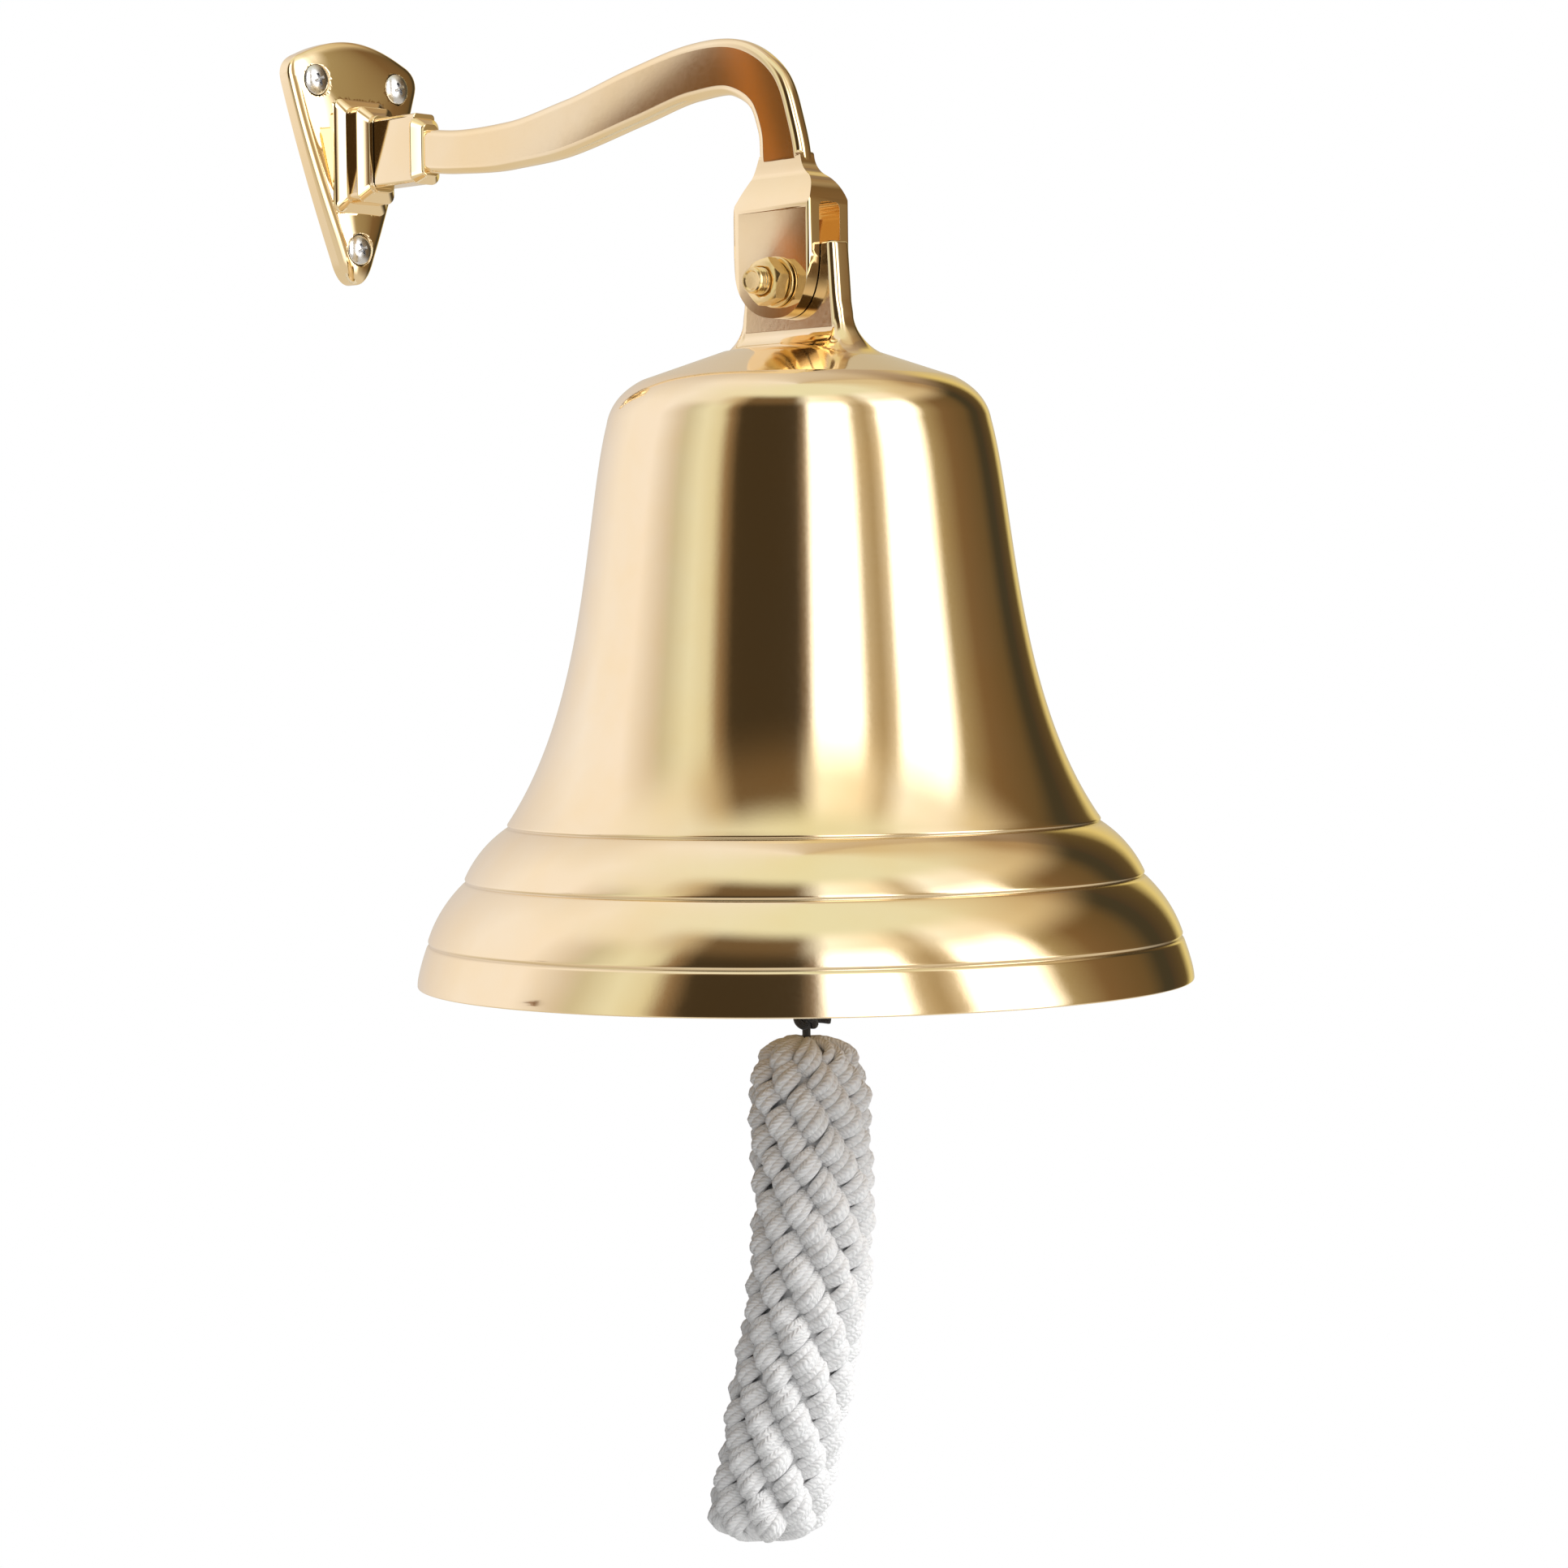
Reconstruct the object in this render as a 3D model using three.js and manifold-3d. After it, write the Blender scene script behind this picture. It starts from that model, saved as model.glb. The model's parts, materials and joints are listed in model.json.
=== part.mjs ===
// Wall-hung ship bell: a cast brass bell swinging in the fork of a gooseneck wall bracket,
// with a swivel-hung clapper and a knotted rope handle lashed to the clapper's tail.
//
// Millimetres, +Z up. The origin is the centre of the wall plate's back face, which lies on
// x = 0; +X points away from the wall and the fork bolt runs along Y.
// Bracket outlines are written from the fork bolt's centre, bell and clapper sizes from the
// plane of the bell's mouth.

import * as THREE from 'three';
import { mergeVertices } from 'three/addons/utils/BufferGeometryUtils.js';
import Module from 'manifold-3d';

const wasm = await Module();
wasm.setup();

// ---------------------------------------------------------------- driving dimensions

const GAP = 0.3;                     // left between pieces that touch
const ROUND_SIDES = 20;              // sides of a small round piece

// Where the three working points are
const REACH = 179;                   // wall to fork bolt
const PIVOT_Z = -47;                 // fork bolt, below the plate's centre
const MOUTH_BELOW_PIVOT = 181;
const MOUTH_Z = PIVOT_Z - MOUTH_BELOW_PIVOT;

// Wall plate
const PLATE_HALF_HEIGHT = 35;
const PLATE_HALF_WIDTH = 24;
const PLATE_THICKNESS = 6.5;
const PLATE_EDGE = 3.2;               // upright part of the edge, below the domed face
const PLATE_SPINE = [-20, 14];        // the dome's ridge runs between these heights
const BOSS_AXIS_Z = 1.6;             // the arm leaves a little above the plate's centre
// The boss, as sections [out from the wall, half width, half height]: a chamfered pad and a chamfered step
const BOSS_END = 16.9;
const BOSS_SECTIONS = [
  [1, 9.4, 16.2], [7.1, 9.4, 16.2], [8.6, 7, 13.8], [13.3, 7, 13.8], [13.6, 6.5, 13.3],
  [15.4, 4.2, 11], [BOSS_END, 4.2, 11],
];

// Wood screws through the plate
const WALL_SCREWS = { left: [-15.1, 22.7], right: [15.1, 22.7], lower: [0, -25] };
const WALL_SCREW = { seat: 5.6, headRadius: 4.4, headDepth: 2.2, dome: 1.5, shankRadius: 2.4 };

// Machine screws that pull the arm onto the boss from behind
const ARM_SCREW = { offset: 6.3, headRadius: 3.3, headDepth: 1.7, shankRadius: 2, length: 28 };

// Arm
const BLOCK = { start: BOSS_END + GAP, end: 34.6, halfWidth: 4, halfHeight: 9.8 };
// A flange that tapers down onto the arm, as sections like the boss's
const COLLAR_SECTIONS = [[33.6, 4.8, 9.3], [34.4, 5.5, 9.3], [36.6, 3, 7.6], [37.4, 2.9, 7.2]];
const ARM_THICKNESS = 5.4;
const ARM_CORNER = 1.1;
const ARM_STATIONS = 30;

// Fork head and its bolt
const HEAD_THICKNESS = 15.6;
const SLOT_WIDTH = 7.8;
const SLOT_TOP = 20.4;               // above the bolt
const BOLT_RADIUS = 3.5;
const BOLT_HOLE_RADIUS = BOLT_RADIUS + GAP;
const BOLT_END = 17.5;               // threaded end, out in front of the fork
const HEX_ACROSS_FLATS = 11;
const HEX_THICKNESS = 4.6;
const WASHER_THICKNESS = 0.8;
const WASHER_RADIUS = 6.6;

// Bell
const MOUTH_RADIUS = 101.6;          // an 8 inch bell
const WAIST_WALL = 6.4;
const BELL_SEGMENTS = 48;
const PROFILE_STEP = 11;             // length of one facet along the bell's profile
const LUG_THICKNESS = SLOT_WIDTH - 2 * GAP;
const RINGS = [{ radius: 98.4, height: 11 }, { radius: 89, height: 27 }, { radius: 78, height: 41 }];
const RING_GROOVE = 0.7;
const CROWN_TOP = 165.5;
const BOSS_RADIUS = 12;
const BOSS_BOTTOM = 149;
const BOSS_BORE_RADIUS = 8;
const BOSS_BORE_TOP = 158;

// Clapper
const SWIVEL_STEM_RADIUS = 3;
const BUSH_HEIGHT = 4;
const CLEVIS = { top: 148.5, slotTop: 144, pin: 137, halfLength: 5, width: 12, slot: 5.6 };
const CLEVIS_PIN_RADIUS = 2;
const ROD_RADIUS = 3.6;
const ROD_FLAT = CLEVIS.slot - 2 * GAP;
const BALL_RADIUS = 20;
const BALL_Z = 19;
const TAIL_EYE = { z: -2.4, outer: 3.6, hole: 1.8, thickness: 2.6 };

// Lashing and rope handle
const CORD_RADIUS = 1.1;
const LOOP_HALF_WIDTH = 3.2;
const KNOT_Z = -10.4;
const KNOT_HALF_HEIGHT = 1.9;
const KNOT_HALF_WIDTH = 3;
const HANDLE_EYE = { z: -22.6, ring: 3.4, wire: 1.4 };
const HANDLE_RADIUS = 16.2;
const HANDLE_TOP = -16;
const HANDLE_BOTTOM = -147;
const HANDLE_BORE = 5.4;
const HANDLE_DRIFT = 12.4;           // how far the worn handle's foot hangs off plumb
const HANDLE_DRIFT_ANGLE = THREE.MathUtils.degToRad(223);

// ---------------------------------------------------------------- materials

function material(color, roughness, metalness) {
  return () => new THREE.MeshStandardMaterial({ color, roughness, metalness });
}

const brass = material(0xd9b36a, 0.16, 1);
const steel = material(0xc4c6c8, 0.25, 1);
const blackCord = material(0x17171a, 0.85, 0);
const cotton = material(0xe4e4e2, 0.95, 0);

// ---------------------------------------------------------------- solids

function toSolid(geometry) {
  const bare = geometry.clone();
  bare.deleteAttribute('normal');
  bare.deleteAttribute('uv');
  const merged = mergeVertices(bare, 1e-4);
  const mesh = new wasm.Mesh({
    numProp: 3,
    vertProperties: new Float32Array(merged.attributes.position.array),
    triVerts: new Uint32Array(merged.index.array),
  });
  return new wasm.Manifold(mesh);
}

function toGeometry(solid) {
  const mesh = solid.getMesh();
  const geometry = new THREE.BufferGeometry();
  geometry.setAttribute('position', new THREE.BufferAttribute(mesh.vertProperties, 3));
  geometry.setIndex(new THREE.BufferAttribute(mesh.triVerts, 1));
  return geometry;
}

function cut(geometry, ...tools) {
  const solid = tools.reduce((rest, tool) => rest.subtract(toSolid(tool)), toSolid(geometry));
  return toGeometry(solid);
}

function join(...geometries) {
  const [first, ...others] = geometries.map(toSolid);
  return toGeometry(others.reduce((whole, piece) => whole.add(piece), first));
}

function common(a, b) {
  return toGeometry(toSolid(a).intersect(toSolid(b)));
}

// ---------------------------------------------------------------- shape helpers

const X_AXIS = new THREE.Vector3(1, 0, 0);
const Y_AXIS = new THREE.Vector3(0, 1, 0);
const Z_AXIS = new THREE.Vector3(0, 0, 1);

// An outline drawn in (y, z) and raised along +X from x = 0
function raiseAlongX(shape, options) {
  const basis = new THREE.Matrix4().makeBasis(Y_AXIS, Z_AXIS, X_AXIS);
  return new THREE.ExtrudeGeometry(shape, options).applyMatrix4(basis);
}

// An outline drawn in (x, z) and given a thickness centred on y = 0
function slabAlongY(shape, thickness, bevel = 0, curveSegments = 8) {
  const basis = new THREE.Matrix4().makeBasis(X_AXIS, Z_AXIS, Y_AXIS.clone().negate());
  const options = {
    depth: thickness - 2 * bevel,
    bevelEnabled: bevel > 0,
    bevelThickness: bevel,
    bevelSize: bevel,
    bevelOffset: -bevel,
    bevelSegments: 1,
    curveSegments,
  };
  const slab = new THREE.ExtrudeGeometry(shape, options).applyMatrix4(basis);
  return slab.translate(0, thickness / 2 - bevel, 0);
}

// A profile of [radius, height] pairs turned about the Z axis
function turned(profile, segments = ROUND_SIDES) {
  const points = profile.map(([radius, height]) => new THREE.Vector2(radius, height));
  return new THREE.LatheGeometry(points, segments).rotateX(Math.PI / 2);
}

// The same, about the X or Y axis, with heights measured along +X or +Y
function turnedAlongX(profile, segments) {
  return turned(profile, segments).rotateY(Math.PI / 2);
}

function turnedAlongY(profile, segments) {
  return turned(profile, segments).rotateX(-Math.PI / 2);
}

function roundRod(radius, from, to) {
  return [[0, from], [radius, from], [radius, to], [0, to]];
}

function tubeProfile(inner, outer, from, to) {
  return [[inner, from], [outer, from], [outer, to], [inner, to], [inner, from]];
}

function box(x0, x1, y0, y1, z0, z1) {
  const geometry = new THREE.BoxGeometry(x1 - x0, y1 - y0, z1 - z0);
  return geometry.translate((x0 + x1) / 2, (y0 + y1) / 2, (z0 + z1) / 2);
}

function hexagon(acrossFlats) {
  const shape = new THREE.Shape();
  const corner = acrossFlats / Math.sqrt(3);
  for (let i = 0; i < 6; i += 1) {
    const angle = (i * Math.PI) / 3;
    shape.lineTo(corner * Math.cos(angle), corner * Math.sin(angle));
  }
  shape.curves.shift();
  shape.closePath();
  return shape;
}

// A skin over a row of equal-sized rings of points, closed at both ends
function loft(rings) {
  const around = rings[0].length;
  const positions = rings.flat().flatMap((point) => point.toArray());
  const index = [];
  for (let i = 0; i < rings.length - 1; i += 1) {
    for (let j = 0; j < around; j += 1) {
      const a = i * around + j;
      const b = i * around + ((j + 1) % around);
      index.push(a, b, a + around, b, b + around, a + around);
    }
  }
  const last = (rings.length - 1) * around;
  for (let j = 1; j < around - 1; j += 1) {
    index.push(0, j + 1, j, last, last + j, last + j + 1);
  }
  const geometry = new THREE.BufferGeometry();
  geometry.setAttribute('position', new THREE.Float32BufferAttribute(positions, 3));
  geometry.setIndex(index);
  return geometry;
}

// Equal-sided rings, one for each [x, half width, half height], with corners rounded off
function sectionsAlongX(sections, centreZ, round) {
  return loft(sections.map(([x, halfY, halfZ]) => {
    const ring = [];
    for (let quarter = 0; quarter < 4; quarter += 1) {
      for (let step = 0; step < 4; step += 1) {
        const angle = (Math.PI / 2) * (quarter + step / 3);
        const signY = quarter === 0 || quarter === 3 ? 1 : -1;
        const signZ = quarter < 2 ? 1 : -1;
        ring.push(new THREE.Vector3(
          x,
          signY * (halfY - round) + round * Math.cos(angle),
          centreZ + signZ * (halfZ - round) + round * Math.sin(angle),
        ));
      }
    }
    return ring;
  }));
}

// A cord of round section along a curve
function cordAlong(curve, radius, steps) {
  const section = new THREE.Shape().absarc(0, 0, radius, 0, 2 * Math.PI);
  return new THREE.ExtrudeGeometry(section, { extrudePath: curve, steps, curveSegments: 4 });
}

// ---------------------------------------------------------------- assembly

const bell = new THREE.Group();
const fromPivot = new THREE.Group();
fromPivot.position.set(REACH, 0, PIVOT_Z);
const fromMouth = new THREE.Group();
fromMouth.position.set(REACH, 0, MOUTH_Z);
bell.add(fromPivot, fromMouth);

function add(parent, name, geometry, finish) {
  const mesh = new THREE.Mesh(geometry, finish());
  mesh.name = name;
  parent.add(mesh);
  return mesh;
}

// ---------------------------------------------------------------- wall plate

function shieldOutline() {
  const shoulderZ = 28;
  const widestZ = 23;
  const footHalfWidth = 6.4;
  const footZ = -28;
  const shape = new THREE.Shape();
  shape.moveTo(0, -PLATE_HALF_HEIGHT);
  shape.quadraticCurveTo(4, -PLATE_HALF_HEIGHT, footHalfWidth, footZ);
  shape.quadraticCurveTo(17.5, 0, PLATE_HALF_WIDTH, widestZ);
  shape.quadraticCurveTo(PLATE_HALF_WIDTH + 0.8, shoulderZ, 19, 30.2);
  shape.quadraticCurveTo(9, PLATE_HALF_HEIGHT, 0, PLATE_HALF_HEIGHT);
  shape.quadraticCurveTo(-9, PLATE_HALF_HEIGHT, -19, 30.2);
  shape.quadraticCurveTo(-PLATE_HALF_WIDTH - 0.8, shoulderZ, -PLATE_HALF_WIDTH, widestZ);
  shape.quadraticCurveTo(-17.5, 0, -footHalfWidth, footZ);
  shape.quadraticCurveTo(-4, -PLATE_HALF_HEIGHT, 0, -PLATE_HALF_HEIGHT);
  return shape;
}

// How high the cushion-shaped face stands, from 0 at the edge to 1 on the spine
function faceHeight(inward) {
  return PLATE_EDGE + (PLATE_THICKNESS - PLATE_EDGE) * Math.sqrt(1 - (1 - inward) ** 2.6);
}

function cushion() {
  const outline = shieldOutline().getPoints(6).slice(0, -1);
  const toRing = (x, inward) => outline.map(({ x: y, y: z }) => {
    const spine = THREE.MathUtils.clamp(z, ...PLATE_SPINE);
    return new THREE.Vector3(x, y * (1 - inward), THREE.MathUtils.lerp(z, spine, inward));
  });
  const steps = [0, 0.035, 0.12, 0.26, 0.45, 0.7, 0.985];
  return loft([toRing(0, 0), ...steps.map((inward) => toRing(faceHeight(inward), inward))]);
}

function wallPlate() {
  const casting = join(cushion(), sectionsAlongX(BOSS_SECTIONS, BOSS_AXIS_Z, 2.4));

  const { seat, headRadius, headDepth, shankRadius } = WALL_SCREW;
  const sink = [
    [0, -1], [shankRadius + GAP, -1], [shankRadius + GAP, seat - headDepth - GAP],
    [headRadius + GAP, seat], [headRadius + GAP, seat + 4], [0, seat + 4],
  ];
  const wallHoles = Object.values(WALL_SCREWS).map(([y, z]) => turnedAlongX(sink).translate(0, y, z));

  const armSink = [
    [0, -1], [ARM_SCREW.headRadius + GAP, -1], [ARM_SCREW.headRadius + GAP, 0.6],
    [ARM_SCREW.shankRadius + GAP, ARM_SCREW.headDepth + 0.9],
    [ARM_SCREW.shankRadius + GAP, BOSS_END + 1], [0, BOSS_END + 1],
  ];
  const armHoles = [-1, 1].map((side) => (
    turnedAlongX(armSink).translate(0, 0, BOSS_AXIS_Z + side * ARM_SCREW.offset)));
  return cut(casting, ...wallHoles, ...armHoles);
}

function crossRecess(depth) {
  const arm = 2.3;
  const half = 0.5;
  return join(box(-depth, 1, -arm, arm, -half, half), box(-depth, 1, -half, half, -arm, arm));
}

// The screw's length inside the wall is left out: it ends flush with the plate's back
function wallScrew() {
  const { seat, headRadius, headDepth, dome, shankRadius } = WALL_SCREW;
  const profile = [
    [0, GAP], [shankRadius, GAP], [shankRadius, seat - headDepth], [headRadius, seat],
    [headRadius * 0.8, seat + dome * 0.5], [headRadius * 0.45, seat + dome * 0.87],
    [0, seat + dome],
  ];
  return cut(turnedAlongX(profile), crossRecess(1.4).translate(seat + dome, 0, 0));
}

function armScrew() {
  const { headRadius, headDepth, shankRadius, length } = ARM_SCREW;
  const profile = [
    [0, 0], [headRadius, 0], [shankRadius, headDepth], [shankRadius, length], [0, length],
  ];
  const slot = box(-1, 0.9, -0.5, 0.5, -headRadius - 1, headRadius + 1);
  return cut(turnedAlongX(profile), slot);
}

add(bell, 'wall_plate', wallPlate(), brass);
for (const [place, [y, z]] of Object.entries(WALL_SCREWS)) {
  add(bell, `wall_screw_${place}`, wallScrew(), steel).position.set(0, y, z);
}
for (const [place, side] of [['upper', 1], ['lower', -1]]) {
  const screw = add(bell, `arm_fixing_screw_${place}`, armScrew(), steel);
  screw.position.set(0.6, 0, BOSS_AXIS_Z + side * ARM_SCREW.offset);
}

// ---------------------------------------------------------------- bracket arm

// Centre line of the gooseneck, from the collar to the fork head, and its depth on the way
const ARM_ROUTE = [
  [-143, 47.6], [-130, 46.2], [-108, 45.9], [-84, 48.6], [-58, 54.2],
  [-36, 58.3], [-20, 57.8], [-9.5, 51.5], [-5.2, 42], [-3.6, 33], [-3.2, 25],
].map(([x, z]) => new THREE.Vector3(x, 0, z));
const ARM_DEPTHS = [12.2, 12.2, 13.2, 15.2, 15.8, 15.2, 14.6, 14.2, 14, 15.4, 17];

function depthAlong(t) {
  const place = t * (ARM_DEPTHS.length - 1);
  const below = Math.min(Math.floor(place), ARM_DEPTHS.length - 2);
  return THREE.MathUtils.lerp(ARM_DEPTHS[below], ARM_DEPTHS[below + 1], place - below);
}

function gooseneck() {
  const route = new THREE.CatmullRomCurve3(ARM_ROUTE);
  const halfY = ARM_THICKNESS / 2;
  const rings = [];
  for (let i = 0; i <= ARM_STATIONS; i += 1) {
    const t = i / ARM_STATIONS;
    const centre = route.getPoint(t);
    const along = route.getTangent(t);
    const across = new THREE.Vector3(-along.z, 0, along.x);
    const half = depthAlong(t) / 2;
    const corners = [
      [halfY, ARM_CORNER - half], [halfY, half - ARM_CORNER], [halfY - ARM_CORNER, half],
      [ARM_CORNER - halfY, half], [-halfY, half - ARM_CORNER], [-halfY, ARM_CORNER - half],
      [ARM_CORNER - halfY, -half], [halfY - ARM_CORNER, -half],
    ];
    rings.push(corners.map(([y, w]) => (
      centre.clone().addScaledVector(Y_AXIS, y).addScaledVector(across, w))));
  }
  return loft(rings);
}

function headOutline() {
  const shape = new THREE.Shape();
  shape.moveTo(-10.4, 34);
  shape.quadraticCurveTo(-11.8, 30, -14.6, 22);
  shape.quadraticCurveTo(-17.6, 16, -17.2, 12);
  shape.lineTo(-15.2, 2);
  shape.quadraticCurveTo(-12, -9.2, 0, -9.2);
  shape.quadraticCurveTo(11, -9.2, 11.6, 8);
  shape.lineTo(11.6, 20);
  shape.quadraticCurveTo(11, 26, 7, 28);
  shape.quadraticCurveTo(4, 30, 4, 34);
  shape.closePath();
  return shape;
}

// The head seen end-on: upright cheeks under a gable that runs up into the neck
function gableOutline() {
  const half = HEAD_THICKNESS / 2;
  const neck = ARM_THICKNESS / 2 - 0.05;
  const shape = new THREE.Shape();
  shape.moveTo(-half, -15);
  shape.lineTo(half, -15);
  shape.lineTo(half, 19);
  shape.quadraticCurveTo(half - 0.4, 22, neck + 1.2, 27.2);
  shape.quadraticCurveTo(neck, 28.4, neck, 34);
  shape.lineTo(-neck, 34);
  shape.quadraticCurveTo(-neck, 28.4, -neck - 1.2, 27.2);
  shape.quadraticCurveTo(0.4 - half, 22, -half, 19);
  shape.closePath();
  return shape;
}

function slotOutline() {
  const half = SLOT_WIDTH / 2;
  const shape = new THREE.Shape();
  shape.moveTo(-half, -16);
  shape.lineTo(half, -16);
  shape.lineTo(half, SLOT_TOP - 2);
  shape.quadraticCurveTo(half, SLOT_TOP, half - 2, SLOT_TOP);
  shape.lineTo(2 - half, SLOT_TOP);
  shape.quadraticCurveTo(-half, SLOT_TOP, -half, SLOT_TOP - 2);
  shape.closePath();
  return shape;
}

function bracketArm() {
  const { start, end, halfWidth, halfHeight } = BLOCK;
  const blockSections = [[start, halfWidth, halfHeight], [end, halfWidth, halfHeight]];
  const block = sectionsAlongX(blockSections, BOSS_AXIS_Z, 1.2);
  const collar = sectionsAlongX(COLLAR_SECTIONS, BOSS_AXIS_Z - 0.8, 2.6);
  const toPivot = (piece) => piece.translate(-REACH, 0, -PIVOT_Z);

  const flat = { bevelEnabled: false, curveSegments: 6 };
  const gable = raiseAlongX(gableOutline(), { ...flat, depth: 60 }).translate(-30, 0, 0);
  const slot = raiseAlongX(slotOutline(), { ...flat, depth: 60 }).translate(-30, 0, 0);
  const head = common(slabAlongY(headOutline(), HEAD_THICKNESS, 1, 6), gable);
  const boltHole = turnedAlongY(roundRod(BOLT_HOLE_RADIUS, -20, 20));

  const screwHole = roundRod(ARM_SCREW.shankRadius + GAP, BLOCK.start - 1, ARM_SCREW.length + 2);
  const screwHoles = [-1, 1].map((side) => (
    toPivot(turnedAlongX(screwHole).translate(0, 0, BOSS_AXIS_Z + side * ARM_SCREW.offset))));
  const casting = join(toPivot(block), toPivot(collar), gooseneck(), head);
  return cut(casting, slot, boltHole, ...screwHoles);
}

add(fromPivot, 'bracket_arm', bracketArm(), brass);

// ---------------------------------------------------------------- fork bolt

const CHEEK_FACE = HEAD_THICKNESS / 2 + GAP;
const NUT_SEAT = CHEEK_FACE + WASHER_THICKNESS + GAP;

function pivotBolt() {
  const chamfer = 0.8;
  const shank = turnedAlongY([
    [0, -BOLT_END], [BOLT_RADIUS - chamfer, -BOLT_END], [BOLT_RADIUS, chamfer - BOLT_END],
    [BOLT_RADIUS, NUT_SEAT + 1], [0, NUT_SEAT + 1],
  ]);
  const head = slabAlongY(hexagon(HEX_ACROSS_FLATS), HEX_THICKNESS);
  return join(shank, head.translate(0, NUT_SEAT + HEX_THICKNESS / 2, 0));
}

function pivotNut() {
  const blank = slabAlongY(hexagon(HEX_ACROSS_FLATS), HEX_THICKNESS);
  return cut(blank, turnedAlongY(roundRod(BOLT_HOLE_RADIUS, -9, 9)));
}

const washer = () => turnedAlongY(
  tubeProfile(BOLT_HOLE_RADIUS, WASHER_RADIUS, 0, WASHER_THICKNESS));

add(fromPivot, 'pivot_bolt', pivotBolt(), brass);
add(fromPivot, 'pivot_nut', pivotNut(), brass).position.y = -NUT_SEAT - HEX_THICKNESS / 2;
add(fromPivot, 'pivot_washer_front', washer(), brass).position.y = -CHEEK_FACE - WASHER_THICKNESS;
add(fromPivot, 'pivot_washer_rear', washer(), brass).position.y = CHEEK_FACE;

// ---------------------------------------------------------------- bell

function bellProfile() {
  const [ring1, ring2, ring3] = RINGS;
  const path = new THREE.Path();
  path.moveTo(0, BOSS_BORE_TOP);
  path.lineTo(BOSS_BORE_RADIUS, BOSS_BORE_TOP);
  path.lineTo(BOSS_BORE_RADIUS, BOSS_BOTTOM);
  path.lineTo(BOSS_RADIUS, BOSS_BOTTOM);
  path.lineTo(BOSS_RADIUS + 1, 157.6);
  path.quadraticCurveTo(26, 155.6, 36, 152);
  path.quadraticCurveTo(44.2, 149, 45, 142);
  path.bezierCurveTo(51.6, 120, 50.5, 74, ring3.radius - WAIST_WALL, ring3.height);
  path.quadraticCurveTo(86, 26, 89.5, 16);
  path.quadraticCurveTo(93, 7, 96.4, 0);
  path.lineTo(MOUTH_RADIUS - 0.3, 0);
  path.quadraticCurveTo(MOUTH_RADIUS, 2.4, ring1.radius + 0.1, ring1.height - 0.6);
  path.lineTo(ring1.radius - RING_GROOVE, ring1.height);
  path.lineTo(ring1.radius - 0.2, ring1.height + 0.7);
  path.quadraticCurveTo(95.6, 20, ring2.radius, ring2.height - 0.6);
  path.lineTo(ring2.radius - RING_GROOVE - 0.3, ring2.height);
  path.lineTo(ring2.radius - 0.5, ring2.height + 0.7);
  path.quadraticCurveTo(85, 35.5, ring3.radius, ring3.height - 0.6);
  path.lineTo(ring3.radius - RING_GROOVE - 0.4, ring3.height);
  path.lineTo(ring3.radius - 0.7, ring3.height + 0.7);
  path.bezierCurveTo(55.6, 73.2, 56.1, 121.5, 50, 145);
  path.quadraticCurveTo(48.8, 152.2, 41, 156.2);
  path.lineTo(20, 163.4);
  path.quadraticCurveTo(10, CROWN_TOP, 0, CROWN_TOP);
  const corners = path.curves.flatMap((curve) => {
    const facets = curve.isLineCurve ? 1 : Math.max(2, Math.round(curve.getLength() / PROFILE_STEP));
    return curve.getPoints(facets).slice(1);
  });
  return [new THREE.Vector2(0, BOSS_BORE_TOP), ...corners];
}

function bellShell() {
  return new THREE.LatheGeometry(bellProfile(), BELL_SEGMENTS).rotateX(Math.PI / 2);
}

// The lug stands on the crown: upright edges that spread into it
function lugOutline() {
  const bolt = MOUTH_BELOW_PIVOT;
  const half = [[15.8, bolt + 10], [16.5, bolt], [17.2, bolt - 10], [22, bolt - 17.6], [26, bolt - 20]];
  const shape = new THREE.Shape();
  const [top, side, waist, flare, foot] = half;
  shape.moveTo(-foot[0], foot[1]);
  shape.quadraticCurveTo(-flare[0] + 2.6, flare[1], -waist[0], waist[1]);
  shape.lineTo(-side[0], side[1]);
  shape.quadraticCurveTo(-top[0] - 0.6, top[1], 3 - top[0], top[1]);
  shape.lineTo(top[0] - 3, top[1]);
  shape.quadraticCurveTo(top[0] + 0.6, top[1], side[0], side[1]);
  shape.lineTo(waist[0], waist[1]);
  shape.quadraticCurveTo(flare[0] - 2.6, flare[1], foot[0], foot[1]);
  shape.closePath();
  return shape;
}

// The fillet between the lug's broad faces and the crown, seen end-on
function lugFootOutline() {
  const half = LUG_THICKNESS / 2;
  const base = MOUTH_BELOW_PIVOT - 18.5;
  const shape = new THREE.Shape();
  shape.moveTo(-half - 6, base);
  shape.lineTo(half + 6, base);
  shape.quadraticCurveTo(half + 0.4, base + 2.4, half - 0.1, base + 8.5);
  shape.lineTo(0.1 - half, base + 8.5);
  shape.quadraticCurveTo(-half - 0.4, base + 2.4, -half - 6, base);
  shape.closePath();
  return shape;
}

function bellBody() {
  const lug = slabAlongY(lugOutline(), LUG_THICKNESS, 0.8, 5);
  const foot = raiseAlongX(lugFootOutline(), { depth: 33, bevelEnabled: false, curveSegments: 5 });
  const footInLug = common(foot.translate(-16.5, 0, 0), slabAlongY(lugOutline(), 24, 0, 5));
  const bore = turnedAlongY(roundRod(BOLT_HOLE_RADIUS, -10, 10)).translate(0, 0, MOUTH_BELOW_PIVOT);
  const cavity = turned(roundRod(BOSS_BORE_RADIUS, BOSS_BOTTOM - 1, BOSS_BORE_TOP), ROUND_SIDES);
  return cut(join(bellShell(), lug, footInLug), bore, cavity);
}

add(fromMouth, 'bell', bellBody(), brass);

// ---------------------------------------------------------------- clapper

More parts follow.
